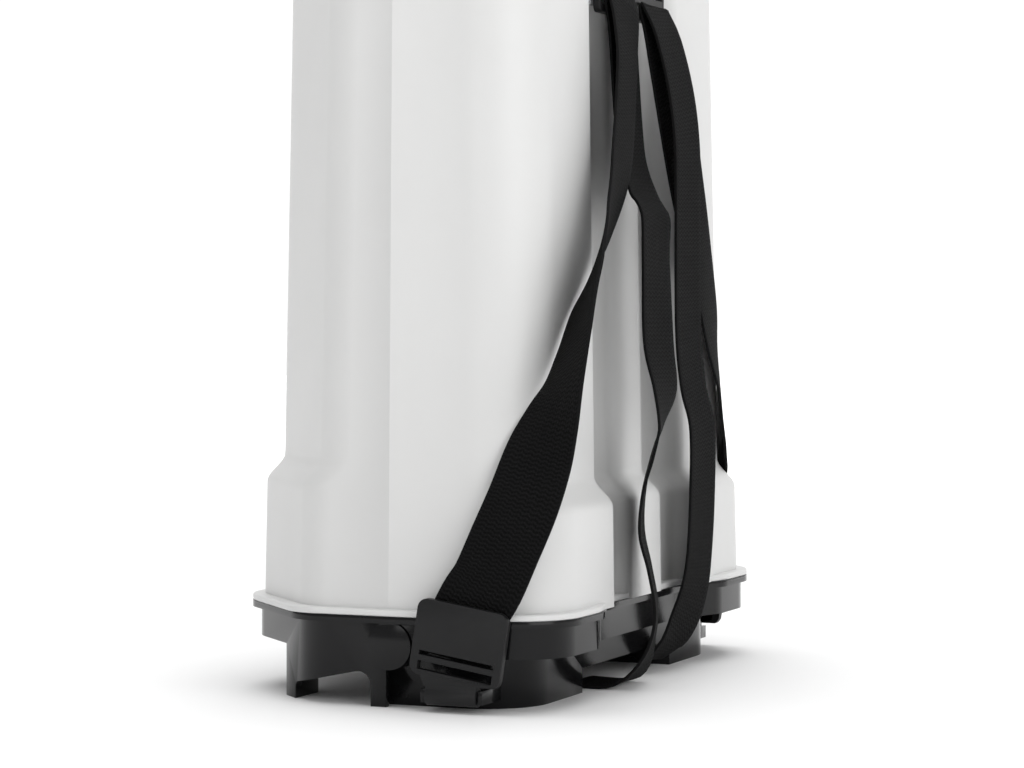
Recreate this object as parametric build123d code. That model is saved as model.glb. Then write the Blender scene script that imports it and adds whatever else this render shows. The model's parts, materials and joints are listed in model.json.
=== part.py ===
from build123d import *
import os
from math import cos, radians, sin, tan

# Backpack sprayer: a moulded tank on a moulded base, with an internal piston pump,
# a hand lever on the wearer's left and two webbing straps. Millimetres, +Z up.
# The parts are drawn about the tank's middle: X across the wearer, -Y towards the
# wearer's back, Z = 0 at the feet. STAND moves them all so that the origin lies
# under the middle of the whole sprayer.

# --- Base and tank, plan -------------------------------------------------------
FLANGE_HALF_WIDTH = 185.0
FLANGE_FRONT = 137.0
FLANGE_LOBE = 95.5
FLANGE_RECESS = 80.0
FLANGE_RECESS_HALF = 70.0
FLANGE_LOBE_EDGE = 108.0
FRONT_CORNER_X = 66.0
FRONT_CORNER_Y = 69.0
FRONT_CORNER_RADIUS = 35.0
LOBE_CORNER_RADIUS = 40.0
RECESS_RADIUS = 25.0

# --- Tank wall -----------------------------------------------------------------
TANK_LEDGE = 5.5
TANK_WALL = 3.0
TANK_BEAD_HEIGHT = 4.0
TANK_DRAFT = 0.85
FLARE = 12.0
WEARER_FLARE_FOOT = 113.0
FRONT_FLARE_FOOT = 126.0
FLARE_HEIGHT = 17.0
SHOULDER_FOOT = 440.0
SHOULDER_STEPS = ((18.0, 5.0), (30.0, 13.0), (38.0, 24.0))
RELIEF_RADIUS = 8.0
LOBE_INNER = 76.0
GROOVE_OUTER = 64.0
GROOVE_INNER = 38.0
RIDGE_HALF = 28.0
GROOVE_DEPTH = 17.0
RIDGE_SETBACK = 9.0
SHOULDER_RELIEF = 0.35

# --- Filler neck and cap -------------------------------------------------------
NECK_Y = 30.0
NECK_RADIUS = 54.0
NECK_WALL = 3.5
NECK_HEIGHT = 22.0
STRAINER_LIP = 2.0
STRAINER_WALL = 1.6
STRAINER_DEPTH = 95.0
STRAINER_GAP = 0.6
STRAINER_SLOT_COUNT = 16
STRAINER_SLOT_WIDTH = 5.0
STRAINER_BAND = 12.0
GASKET_HEIGHT = 3.0
CAP_CLEARANCE = 0.6
CAP_WALL = 5.0
CAP_TOP = 5.0
CAP_SKIRT = 18.0
CAP_LUG_COUNT = 6
CAP_LUG_RADIUS = 8.0
CAP_LUG_SINK = 2.0
VENT_RADIUS = 4.0

# --- Base ----------------------------------------------------------------------
BASE_HEIGHT = 53.0
DECK_THICKNESS = 4.0
SKIRT_INSET = 4.0
SKIRT_DEPTH = 18.0
BASE_WALL = 4.0
FOOT_HALF_WIDTH = FLANGE_HALF_WIDTH - 17.0
FOOT_WEARER_Y = -68.0
FOOT_CORNER_RADIUS = 38.0
FOOT_INNER_X = 76.0
FOOT_REAR_END_Y = 23.0
FOOT_FLOOR = 3.0
SIDE_LEG_LENGTH = 10.0
FRONT_LEG_Y = 80.0
FRONT_LEG_LENGTH = 12.0
FRONT_LEG_DEPTH = 26.0
SIDE_ARCH_HIGH = 22.0
SIDE_ARCH_LOW = 10.0
SIDE_ARCH_RADIUS = 8.0
WEARER_ARCH = 15.0
BEARER_THICKNESS = 4.0
BEARER_FOOT = 20.0

# --- Pump pocket and pump ------------------------------------------------------
PUMP_Y = 44.0
POCKET_HALF_X = 45.0
POCKET_HALF_Y = 40.0
POCKET_ROOF = 75.0
DECK_MARGIN = 5.0
CYLINDER_BORE = 20.0
CYLINDER_WALL = 3.0
CYLINDER_END_GAP = 2.0
SEAL_RING_HEIGHT = 2.0
SEAL_RING_WIDTH = 5.0
FLANGE_PLATE = 6.0
PUMP_FLANGE_WIDTH = 6.0
RING_NUT_HEIGHT = 8.0
RING_NUT_WIDTH = 7.0
PORT_RADIUS = 4.0
PORT_RISE = 10.0
ROD_RADIUS = 6.0
RUNNING_FIT = 0.05
ROD_SEAL_RADIUS = 10.0
ROD_SEAL_HEIGHT = 4.0
PISTON_HEIGHT = 12.0
PISTON_PORT_PLACE = 12.0
PISTON_PORT_RADIUS = 3.0
PISTON_CUP_HEIGHT = 3.0
PISTON_CUP_WALL = 3.0
PISTON_START = 101.0
SEAT_HEIGHT = 6.0
SEAT_HOLE = 7.0
VALVE_RADIUS = 10.0
VALVE_THICKNESS = 2.5
VALVE_GUIDE = 6.2
CAGE_RADIUS = 16.0
CAGE_WALL = 2.0
CAGE_HEIGHT = 9.0
CHAMBER_SIDE_GAP = 1.5
CHAMBER_WALL = 3.0
CHAMBER_LENGTH = 183.0
CHAMBER_COLLAR = 24.0
O_RING_SECTION = 3.0
OUTLET_PITCH = 12.0
OUTLET_ANGLE = 24.0
OUTLET_RADIUS = 4.5
OUTLET_BORE = 3.0
OUTLET_DROP = 15.0
NIPPLE_HEX = 14.0
NIPPLE_HEX_HEIGHT = 8.0
NIPPLE_LENGTH = 24.0
NIPPLE_BARB = 5.5
NIPPLE_BARB_COUNT = 4

# --- Lever ---------------------------------------------------------------------
SHAFT_Y = 10.0
SHAFT_Z = 36.0
SHAFT_RADIUS = 6.0
SHAFT_BOSS_RADIUS = 14.0
SHAFT_BOSS_OUT = FLANGE_HALF_WIDTH - 1.0
SHAFT_BOSS_LENGTH = 22.0
BUSH_WALL = 3.0
NEAR_BUSH_LENGTH = 18.0
CRANK_RADIUS = 36.0
CRANK_REST_ANGLE = -30.0
LEVER_SWING = 60.0
CRANK_THICKNESS = 6.0
CRANK_X = 8.0
CRANK_HUB_RADIUS = 12.0
CRANK_END_RADIUS = 8.0
PIN_RADIUS = 4.0
YOKE_HALF_X = 6.0
YOKE_HALF_Y = 15.0
YOKE_WALL = 4.0
YOKE_PLAY = 0.5
YOKE_SLOT_HALF = 8.0
HUB_INNER_X = FLANGE_HALF_WIDTH + 1.0
HUB_STEP_X = HUB_INNER_X + 20.0
HUB_OUTER_X = HUB_STEP_X + 10.0
HUB_BOSS_RADIUS = 13.0
HUB_HALF_WIDTH = 16.0
HUB_TOP = 92.0
ARM_THICKNESS = 4.0
ARM_WIDTH = 22.0
ARM_FOOT = 50.0
ARM_TOP = 372.0
BOLT_RADIUS = 3.0
BOLT_HEAD_RADIUS = 5.0
BOLT_HEAD_HEIGHT = 1.5
BOLT_HEIGHTS = (62.0, 80.0)
GRIP_LENGTH = 118.0
GRIP_WIDTH = 32.0
GRIP_THICKNESS = 12.0
GRIP_END = 6.0
CLIP_THICKNESS = 1.2
CLIP_RADIUS = 8.5

# --- Harness -------------------------------------------------------------------
WEBBING_WIDTH = 45.0
WEBBING_THICKNESS = 2.0
TAIL_REACH = 111.7
BUCKLE_PIN_X = FLANGE_HALF_WIDTH + 3.0
BUCKLE_PIN_Z = 9.5
BUCKLE_Y = -33.0
BUCKLE_PIN_RADIUS = 3.0
BUCKLE_BARREL_WALL = 2.5
BUCKLE_BARREL_HALF = 16.0
BUCKLE_EAR = 3.0
BUCKLE_EAR_GAP = 0.4
BUCKLE_TILT = 9.0
BUCKLE_PLATE_FOOT = 18.5
BUCKLE_PLATE_HEIGHT = 44.0
BUCKLE_PLATE_WIDTH = 57.0
BUCKLE_PLATE_THICKNESS = 5.0
BUCKLE_PLATE_RADIUS = 6.0
BUCKLE_SLOT_LENGTH = 47.0
BUCKLE_SLOTS = ((21.5, 5.0), (30.0, 2.5))
ANCHOR_DROP = 10.0
ANCHOR_HALF_WIDTH = 60.0
ANCHOR_HEIGHT = 26.0
ANCHOR_THICKNESS = 3.0
ANCHOR_GAP = 0.2
ADJUSTER_X = 29.0
ADJUSTER_WIDTH = 54.0
ADJUSTER_HEIGHT = 30.0
ADJUSTER_THICKNESS = 5.0
ADJUSTER_SLOT_HEIGHT = 6.0
ADJUSTER_BAR = 5.0

# --- Fasteners and handle ------------------------------------------------------
SCREW_RADIUS = 1.9
SCREW_HEAD_RADIUS = 4.0
SCREW_HEAD_HEIGHT = 2.5
SCREW_BITE = 9.0
SCREW_BOSS_RADIUS = 7.0
SCREW_PLACES = ((120.0, -40.0), (120.0, 60.0), (20.0, -40.0))
HANDLE_Y = -43.0
HANDLE_HALF_SPAN = 98.0
HANDLE_RISE = 34.0
HANDLE_SECTION = 14.0
HANDLE_DEPTH = 12.0
HANDLE_BEND = 16.0
HANDLE_EDGE = 4.0

STAND = Vector(
    -(HUB_OUTER_X + BOLT_HEAD_HEIGHT - BUCKLE_PIN_X - BUCKLE_PIN_RADIUS - BUCKLE_BARREL_WALL) / 2,
    -(FLANGE_FRONT - TAIL_REACH) / 2,
    0.0,
)

TANK_FOOT = BASE_HEIGHT
TANK_TOP = SHOULDER_FOOT + SHOULDER_STEPS[-1][0]
NECK_TOP = TANK_TOP + NECK_HEIGHT
FLOOR_TOP = TANK_FOOT + TANK_WALL
ANCHOR_Z = SHOULDER_FOOT - ANCHOR_DROP


# --- Helpers -------------------------------------------------------------------
def save(name, shape):
    """Write one node, moved to the sprayer's own origin."""
    export_step(Pos(STAND) * shape, f"parts/{name}.step")


def box(x0, x1, y0, y1, z0, z1):
    """A box between two corners."""
    size = (x1 - x0, y1 - y0, z1 - z0)
    return Pos((x0 + x1) / 2, (y0 + y1) / 2, (z0 + z1) / 2) * Box(*size)


def upright(x, y, z0, z1, radius):
    """A cylinder along Z."""
    return Pos(x, y, (z0 + z1) / 2) * Cylinder(radius, z1 - z0)


def across(x0, x1, y, z, radius):
    """A cylinder along X."""
    return Pos((x0 + x1) / 2, y, z) * Rot(0, 90, 0) * Cylinder(radius, x1 - x0)


def along(x, y0, y1, z, radius):
    """A cylinder along Y."""
    return Pos(x, (y0 + y1) / 2, z) * Rot(90, 0, 0) * Cylinder(radius, y1 - y0)


def tube(x, y, z0, z1, outer, inner):
    """A ring or tube along Z."""
    return upright(x, y, z0, z1, outer) - upright(x, y, z0, z1, inner)


def both_sides(shape):
    """The shape and its mirror image across the middle plane."""
    return [shape, mirror(shape, Plane.YZ)]


def face_at(corners, radii, z):
    """A face at height z from the corners of its X > 0 half, front to back."""
    left = [(-x, y) for x, y in reversed(corners)]
    points = [(x, y, z) for x, y in corners + left]
    rounds = list(radii) + list(reversed(radii))
    return make_face(FilletPolyline(*points, radius=rounds, close=True))


# --- Outlines ------------------------------------------------------------------
def flange_face(z, inset=0.0):
    """Plan of the base's rim and the tank's bead."""
    half = FLANGE_HALF_WIDTH - inset
    front = FLANGE_FRONT - inset
    lobe = -FLANGE_LOBE + inset
    corners = [
        (half - FRONT_CORNER_X, front),
        (half, front - FRONT_CORNER_Y),
        (half, lobe),
        (FLANGE_LOBE_EDGE, lobe),
        (FLANGE_RECESS_HALF, -FLANGE_RECESS + inset),
    ]
    radii = [
        FRONT_CORNER_RADIUS,
        FRONT_CORNER_RADIUS,
        LOBE_CORNER_RADIUS - inset,
        RECESS_RADIUS,
        RECESS_RADIUS,
    ]
    return face_at(corners, radii, z)


def flare_share(z, foot):
    """How far up a flare the height z is, from 0 to 1."""
    return min(max((z - foot) / FLARE_HEIGHT, 0.0), 1.0)


def tank_face(z, inset=0.0, relief=1.0):
    """Plan of the tank wall at height z, moved inwards by inset."""
    draft = (z - TANK_FOOT) * tan(radians(TANK_DRAFT))
    half = FLANGE_HALF_WIDTH - TANK_LEDGE - draft - inset
    front = FLANGE_FRONT - TANK_LEDGE - draft - inset
    front -= FLARE * flare_share(z, FRONT_FLARE_FOOT)
    lobe = FLANGE_LOBE - TANK_LEDGE - draft - inset
    lobe -= FLARE * flare_share(z, WEARER_FLARE_FOOT)
    slope = 0.4 * min(inset, TANK_WALL)
    corners = [
        (half - FRONT_CORNER_X, front),
        (half, front - FRONT_CORNER_Y),
        (half, -lobe),
        (LOBE_INNER + slope, -lobe),
        (GROOVE_OUTER + slope, -lobe + GROOVE_DEPTH * relief),
        (GROOVE_INNER - slope, -lobe + GROOVE_DEPTH * relief),
        (RIDGE_HALF - slope, -lobe + RIDGE_SETBACK * relief),
    ]
    lobe_radius = LOBE_CORNER_RADIUS - inset / 2
    radii = [FRONT_CORNER_RADIUS, FRONT_CORNER_RADIUS, lobe_radius] + [RELIEF_RADIUS] * 4
    return face_at(corners, radii, z)


def tank_block(inset, foot, top):
    """The tank's solid form, moved inwards by inset, from foot to top."""
    flares = (
        WEARER_FLARE_FOOT,
        FRONT_FLARE_FOOT,
        WEARER_FLARE_FOOT + FLARE_HEIGHT,
        FRONT_FLARE_FOOT + FLARE_HEIGHT,
    )
    faces = [tank_face(z, inset) for z in (foot, *flares, SHOULDER_FOOT)]
    for rise, shrink in SHOULDER_STEPS[:-1]:
        faces.append(tank_face(SHOULDER_FOOT + rise, inset + shrink, SHOULDER_RELIEF))
    faces.append(tank_face(top, inset + SHOULDER_STEPS[-1][1], SHOULDER_RELIEF))
    return loft(faces, ruled=True)


# --- Base ----------------------------------------------------------------------
def pump_opening(z0, z1, margin):
    """The space round the pump pocket, wider by margin."""
    return box(
        -POCKET_HALF_X - margin,
        POCKET_HALF_X + margin,
        PUMP_Y - POCKET_HALF_Y - margin,
        PUMP_Y + POCKET_HALF_Y + margin,
        z0,
        z1,
    )


def side_arch():
    """The slanted gap between the middle and front legs, through both sides."""
    points = [
        (FOOT_REAR_END_Y, -1.0),
        (FOOT_REAR_END_Y, SIDE_ARCH_HIGH),
        (FRONT_LEG_Y, SIDE_ARCH_LOW),
        (FRONT_LEG_Y, -1.0),
    ]
    radii = [0.0, SIDE_ARCH_RADIUS, SIDE_ARCH_RADIUS / 2, 0.0]
    face = make_face(Plane.YZ * FilletPolyline(*points, radius=radii, close=True))
    return extrude(face, FLANGE_HALF_WIDTH, both=True)


def foot(deck_foot):
    """Hollow foot under the wearer side with one large round corner, X > 0."""
    outer = box(FOOT_INNER_X, FOOT_HALF_WIDTH, FOOT_WEARER_Y, FOOT_REAR_END_Y, 0, deck_foot)
    corner = outer.edges().filter_by(Axis.Z).sort_by(lambda e: e.center().X - e.center().Y)[-1]
    outer = fillet(corner, FOOT_CORNER_RADIUS)
    inner = box(
        FOOT_INNER_X + BASE_WALL,
        FOOT_HALF_WIDTH - BASE_WALL,
        FOOT_WEARER_Y + BASE_WALL,
        FOOT_REAR_END_Y - BASE_WALL,
        FOOT_FLOOR,
        deck_foot,
    )
    corner = inner.edges().filter_by(Axis.Z).sort_by(lambda e: e.center().X - e.center().Y)[-1]
    return outer - fillet(corner, FOOT_CORNER_RADIUS - BASE_WALL)


def side_panel(deck_foot):
    """Outer wall that carries the middle and front legs, X > 0."""
    front_end = FRONT_LEG_Y + FRONT_LEG_LENGTH
    ring = extrude(flange_face(0.0, SKIRT_INSET), deck_foot)
    ring -= extrude(flange_face(0.0, SKIRT_INSET + BASE_WALL), deck_foot)
    middle_start = FOOT_REAR_END_Y - SIDE_LEG_LENGTH
    shape = ring & box(0, FLANGE_HALF_WIDTH, middle_start, front_end, 0, deck_foot)
    shape += box(
        FOOT_HALF_WIDTH - BASE_WALL,
        FLANGE_HALF_WIDTH - SKIRT_INSET - BASE_WALL / 2,
        FOOT_REAR_END_Y - BASE_WALL,
        FOOT_REAR_END_Y,
        0,
        deck_foot,
    )
    inside = extrude(flange_face(0.0, SKIRT_INSET + BASE_WALL / 2), deck_foot)
    for y in (FRONT_LEG_Y, front_end - BASE_WALL):
        web = inside & box(0, FLANGE_HALF_WIDTH, y, y + BASE_WALL, 0, deck_foot)
        reach = web.bounding_box().max.X - FRONT_LEG_DEPTH
        shape += web & box(reach, FLANGE_HALF_WIDTH, y, y + BASE_WALL, 0, deck_foot)
    return shape


def strap_ears():
    """Two ears and the bar that a strap buckle hooks on, on the X > 0 side."""
    reach = BUCKLE_PIN_X + BUCKLE_PIN_RADIUS
    gap = BUCKLE_BARREL_HALF + BUCKLE_EAR_GAP
    top = BUCKLE_PIN_Z + BUCKLE_PIN_RADIUS + 1.0
    shape = along(BUCKLE_PIN_X, BUCKLE_Y - gap, BUCKLE_Y + gap, BUCKLE_PIN_Z, BUCKLE_PIN_RADIUS)
    for y in (BUCKLE_Y - gap - BUCKLE_EAR, BUCKLE_Y + gap):
        foot = BUCKLE_PIN_Z - BUCKLE_PIN_RADIUS - 1.0
        shape += box(FOOT_HALF_WIDTH - BASE_WALL, reach, y, y + BUCKLE_EAR, foot, top)
    return shape


def make_base():
    """Deck with its rim, hanging skirt, legs, shaft bosses and strap bars."""
    deck_foot = BASE_HEIGHT - DECK_THICKNESS
    skirt_foot = deck_foot - SKIRT_DEPTH
    shape = extrude(flange_face(deck_foot), DECK_THICKNESS)
    skirt = extrude(flange_face(skirt_foot, SKIRT_INSET), SKIRT_DEPTH)
    skirt -= extrude(flange_face(skirt_foot, SKIRT_INSET + BASE_WALL), SKIRT_DEPTH)
    shape += skirt
    for part in both_sides(foot(deck_foot)) + both_sides(side_panel(deck_foot)):
        shape += part
    shape += box(
        -FOOT_INNER_X,
        FOOT_INNER_X,
        FOOT_WEARER_Y,
        FOOT_WEARER_Y + BASE_WALL,
        WEARER_ARCH,
        deck_foot,
    )
    shape -= side_arch()
    shape -= pump_opening(deck_foot - 1, BASE_HEIGHT + 1, DECK_MARGIN)
    bearer_x = POCKET_HALF_X + DECK_MARGIN
    bearer = box(
        bearer_x,
        bearer_x + BEARER_THICKNESS,
        FOOT_WEARER_Y + BASE_WALL,
        FRONT_LEG_Y + FRONT_LEG_LENGTH - BASE_WALL,
        BEARER_FOOT,
        deck_foot,
    )
    for rib in both_sides(bearer):
        shape += rib
    boss = across(
        SHAFT_BOSS_OUT - SHAFT_BOSS_LENGTH, SHAFT_BOSS_OUT, SHAFT_Y, SHAFT_Z, SHAFT_BOSS_RADIUS
    )
    for part in both_sides(boss):
        shape += part
    for part in both_sides(strap_ears()):
        shape += part
    bush_outer = SHAFT_RADIUS + RUNNING_FIT + BUSH_WALL
    near_end = -SHAFT_BOSS_OUT + BASE_WALL
    shape -= across(near_end, FLANGE_HALF_WIDTH, SHAFT_Y, SHAFT_Z, SHAFT_RADIUS + 0.5)
    shape -= across(near_end, near_end + SHAFT_BOSS_LENGTH, SHAFT_Y, SHAFT_Z, bush_outer)
    far_start = SHAFT_BOSS_OUT - SHAFT_BOSS_LENGTH
    shape -= across(far_start, FLANGE_HALF_WIDTH, SHAFT_Y, SHAFT_Z, bush_outer)
    for x, y in screw_places():
        shape -= upright(x, y, deck_foot - 1, BASE_HEIGHT + 1, SCREW_RADIUS)
    return shape


def screw_places():
    """Where the tank is screwed down to the base."""
    return [(side * x, y) for x, y in SCREW_PLACES for side in (1, -1)]


def make_base_screws():
    """Screws from under the deck into the tank's blind bosses."""
    deck_foot = BASE_HEIGHT - DECK_THICKNESS
    top = BASE_HEIGHT + SCREW_BITE
    screws = []
    for x, y in screw_places():
        screw = upright(x, y, deck_foot, top, SCREW_RADIUS)
        screw += upright(x, y, deck_foot - SCREW_HEAD_HEIGHT, deck_foot, SCREW_HEAD_RADIUS)
        screws.append(screw)
    return Compound(screws)


# --- Tank ----------------------------------------------------------------------
def handle_feet():
    """Centres of the carrying handle's two feet."""
    return [(-HANDLE_HALF_SPAN, HANDLE_Y), (HANDLE_HALF_SPAN, HANDLE_Y)]


def make_tank():
    """Shell with a bead at its foot, a pump pocket under it and a filler neck."""
    outer = tank_block(0.0, TANK_FOOT, TANK_TOP)
    inner = tank_block(TANK_WALL, FLOOR_TOP, TANK_TOP - TANK_WALL)
    pocket_shell = pump_opening(TANK_FOOT, POCKET_ROOF + TANK_WALL, TANK_WALL)
    inner -= pocket_shell
    for x, y in screw_places():
        inner -= upright(x, y, TANK_FOOT, BASE_HEIGHT + SCREW_BITE + TANK_WALL, SCREW_BOSS_RADIUS)
    for x, y in handle_feet():
        inner -= upright(x, y, TANK_TOP - SCREW_BITE - TANK_WALL, TANK_TOP, SCREW_BOSS_RADIUS)
    shape = outer + extrude(flange_face(TANK_FOOT), TANK_BEAD_HEIGHT)
    shape += upright(0, NECK_Y, TANK_TOP - 1, NECK_TOP, NECK_RADIUS)
    shape -= inner
    shape -= pump_opening(TANK_FOOT - 1, POCKET_ROOF, 0.0)
    shape -= upright(0, NECK_Y, TANK_TOP - TANK_WALL - 1, NECK_TOP + 1, NECK_RADIUS - NECK_WALL)
    shape -= upright(0, PUMP_Y, POCKET_ROOF - 1, POCKET_ROOF + 5, CYLINDER_BORE + CYLINDER_WALL)
    shape -= upright(OUTLET_X, OUTLET_Y, POCKET_ROOF - 1, POCKET_ROOF + 5, OUTLET_RADIUS)
    for x, y in screw_places():
        shape -= upright(x, y, TANK_FOOT - 1, BASE_HEIGHT + SCREW_BITE, SCREW_RADIUS)
    for x, y in handle_feet():
        shape -= upright(x, y, TANK_TOP - SCREW_BITE, TANK_TOP + 1, SCREW_RADIUS)
    return shape


def make_strainer():
    """Basket that hangs by its lip from the top of the neck."""
    radius = NECK_RADIUS - NECK_WALL - STRAINER_GAP
    foot = NECK_TOP - STRAINER_DEPTH
    shape = upright(0, NECK_Y, foot, NECK_TOP, radius)
    shape += upright(0, NECK_Y, NECK_TOP, NECK_TOP + STRAINER_LIP, NECK_RADIUS)
    inside = radius - STRAINER_WALL
    shape -= upright(0, NECK_Y, foot + STRAINER_WALL, NECK_TOP + STRAINER_LIP + 1, inside)
    for i in range(STRAINER_SLOT_COUNT // 2):
        slot = box(
            -NECK_RADIUS,
            NECK_RADIUS,
            -STRAINER_SLOT_WIDTH / 2,
            STRAINER_SLOT_WIDTH / 2,
            foot + STRAINER_BAND,
            TANK_TOP - STRAINER_BAND,
        )
        shape -= Pos(0, NECK_Y, 0) * Rot(0, 0, 360.0 * i / STRAINER_SLOT_COUNT) * slot
    return shape


def make_cap_gasket():
    """Flat rubber ring between the strainer's lip and the cap."""
    foot = NECK_TOP + STRAINER_LIP
    return tube(0, NECK_Y, foot, foot + GASKET_HEIGHT, NECK_RADIUS, NECK_RADIUS - NECK_WALL)


def make_filler_cap():
    """Screw cap with finger lugs round its skirt."""
    inside_top = NECK_TOP + STRAINER_LIP + GASKET_HEIGHT
    foot = NECK_TOP - CAP_SKIRT
    inner = NECK_RADIUS + CAP_CLEARANCE
    outer = inner + CAP_WALL
    shape = upright(0, NECK_Y, foot, inside_top + CAP_TOP, outer)
    for i in range(CAP_LUG_COUNT):
        angle = radians(360.0 * i / CAP_LUG_COUNT)
        x = (outer - CAP_LUG_SINK) * cos(angle)
        y = NECK_Y + (outer - CAP_LUG_SINK) * sin(angle)
        shape += upright(x, y, foot, inside_top + CAP_TOP, CAP_LUG_RADIUS)
    shape -= upright(0, NECK_Y, foot - 1, inside_top, inner)
    shape -= upright(0, NECK_Y, foot, inside_top + CAP_TOP + 1, VENT_RADIUS)
    return shape


def make_vent_valve():
    """Rubber breather pressed into the middle of the cap."""
    foot = NECK_TOP + STRAINER_LIP + GASKET_HEIGHT
    top = foot + CAP_TOP
    shape = upright(0, NECK_Y, foot - 3.0, top, VENT_RADIUS)
    shape += upright(0, NECK_Y, top, top + 2.0, VENT_RADIUS + 2.0)
    return shape


def make_handle():
    """Bowed carrying handle that stands on the tank's top, wearer side."""
    rise = TANK_TOP + HANDLE_RISE
    half = HANDLE_HALF_SPAN
    path = FilletPolyline(
        (-half, HANDLE_Y, TANK_TOP),
        (-half, HANDLE_Y, rise),
        (half, HANDLE_Y, rise),
        (half, HANDLE_Y, TANK_TOP),
        radius=HANDLE_BEND,
    )
    section = Plane(path @ 0, x_dir=(1, 0, 0), z_dir=path % 0) * RectangleRounded(
        HANDLE_SECTION, HANDLE_DEPTH, HANDLE_EDGE
    )
    shape = sweep(section, path=path)
    for x, y in handle_feet():
        shape -= upright(x, y, TANK_TOP - 1, TANK_TOP + SCREW_BITE, SCREW_RADIUS)
    return shape


def make_handle_studs():
    """Threaded studs that hold the handle's feet to the tank."""
    studs = [
        upright(x, y, TANK_TOP - SCREW_BITE, TANK_TOP + SCREW_BITE, SCREW_RADIUS)
        for x, y in handle_feet()
    ]
    return Compound(studs)


# --- Pump ----------------------------------------------------------------------
CYLINDER_OUTER = CYLINDER_BORE + CYLINDER_WALL
CYLINDER_FOOT = POCKET_ROOF - SEAL_RING_HEIGHT
CRANK_END_ANGLE = CRANK_REST_ANGLE + LEVER_SWING
STROKE = CRANK_RADIUS * (sin(radians(CRANK_END_ANGLE)) - sin(radians(CRANK_REST_ANGLE)))
CUP_TOP = PISTON_START + PISTON_HEIGHT + 2 * PISTON_CUP_HEIGHT
CYLINDER_TOP = CUP_TOP + STROKE + CYLINDER_END_GAP + SEAT_HEIGHT
OUTLET_PLACE = CYLINDER_OUTER + OUTLET_PITCH
OUTLET_X = OUTLET_PLACE * cos(radians(OUTLET_ANGLE))
OUTLET_Y = PUMP_Y + OUTLET_PLACE * sin(radians(OUTLET_ANGLE))
CHAMBER_RADIUS = OUTLET_PLACE + OUTLET_RADIUS + CHAMBER_SIDE_GAP + CHAMBER_WALL
NUT_FOOT = POCKET_ROOF + TANK_WALL
CRANK_START_Z = SHAFT_Z + CRANK_RADIUS * sin(radians(CRANK_REST_ANGLE))
CRANK_START_Y = SHAFT_Y + CRANK_RADIUS * cos(radians(CRANK_REST_ANGLE))


def make_pump_flange():
    """Plate under the tank's pocket, with the rod's bore and its seal recess."""
    foot = CYLINDER_FOOT - FLANGE_PLATE
    shape = upright(0, PUMP_Y, foot, CYLINDER_FOOT, CYLINDER_OUTER + PUMP_FLANGE_WIDTH)
    shape -= upright(0, PUMP_Y, foot - 1, CYLINDER_FOOT + 1, ROD_RADIUS + RUNNING_FIT)
    shape -= upright(0, PUMP_Y, CYLINDER_FOOT - ROD_SEAL_HEIGHT, CYLINDER_FOOT + 1, ROD_SEAL_RADIUS)
    return shape


def make_pump_seal_ring():
    """Flat ring that seals the pump flange against the tank."""
    return tube(
        0, PUMP_Y, CYLINDER_FOOT, POCKET_ROOF, CYLINDER_OUTER + SEAL_RING_WIDTH, CYLINDER_OUTER
    )


def make_rod_seal():
    """Lip seal round the piston rod."""
    return tube(
        0,
        PUMP_Y,
        CYLINDER_FOOT - ROD_SEAL_HEIGHT,
        CYLINDER_FOOT,
        ROD_SEAL_RADIUS,
        ROD_RADIUS + RUNNING_FIT,
    )


def make_ring_nut():
    """Nut that clamps the pump to the tank's floor."""
    outer = CYLINDER_OUTER + RING_NUT_WIDTH
    return tube(0, PUMP_Y, NUT_FOOT, NUT_FOOT + RING_NUT_HEIGHT, outer, CYLINDER_OUTER)


def make_cylinder():
    """Pump barrel with four inlet ports above the ring nut."""
    shape = tube(0, PUMP_Y, CYLINDER_FOOT, CYLINDER_TOP, CYLINDER_OUTER, CYLINDER_BORE)
    port_z = NUT_FOOT + RING_NUT_HEIGHT + PORT_RISE / 2
    shape -= across(-CYLINDER_OUTER - 1, CYLINDER_OUTER + 1, PUMP_Y, port_z, PORT_RADIUS)
    reach = CYLINDER_OUTER + 1
    shape -= along(0, PUMP_Y - reach, PUMP_Y + reach, port_z, PORT_RADIUS)
    return shape


def make_delivery_seat():
    """Plug at the top of the barrel with the delivery hole."""
    foot = CYLINDER_TOP - SEAT_HEIGHT
    return tube(0, PUMP_Y, foot, CYLINDER_TOP, CYLINDER_BORE, SEAT_HOLE)


def make_delivery_valve():
    """Disc that lifts off the seat, with a guide in the hole."""
    shape = upright(0, PUMP_Y, CYLINDER_TOP, CYLINDER_TOP + VALVE_THICKNESS, VALVE_RADIUS)
    shape += upright(0, PUMP_Y, CYLINDER_TOP - SEAT_HEIGHT + 1.0, CYLINDER_TOP, VALVE_GUIDE)
    return shape


def make_valve_cage():
    """Cage that keeps the delivery valve in place, open at its sides."""
    inner = CAGE_RADIUS - CAGE_WALL
    top = CYLINDER_TOP + CAGE_HEIGHT
    shape = upright(0, PUMP_Y, CYLINDER_TOP, top, CAGE_RADIUS)
    shape -= upright(0, PUMP_Y, CYLINDER_TOP - 1, top - CAGE_WALL, inner)
    window_foot = CYLINDER_TOP + CAGE_WALL
    window_top = top - CAGE_WALL
    reach = CAGE_RADIUS + 1
    shape -= box(-reach, reach, PUMP_Y - 7, PUMP_Y + 7, window_foot, window_top)
    shape -= box(-7, 7, PUMP_Y - reach, PUMP_Y + reach, window_foot, window_top)
    return shape


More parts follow.
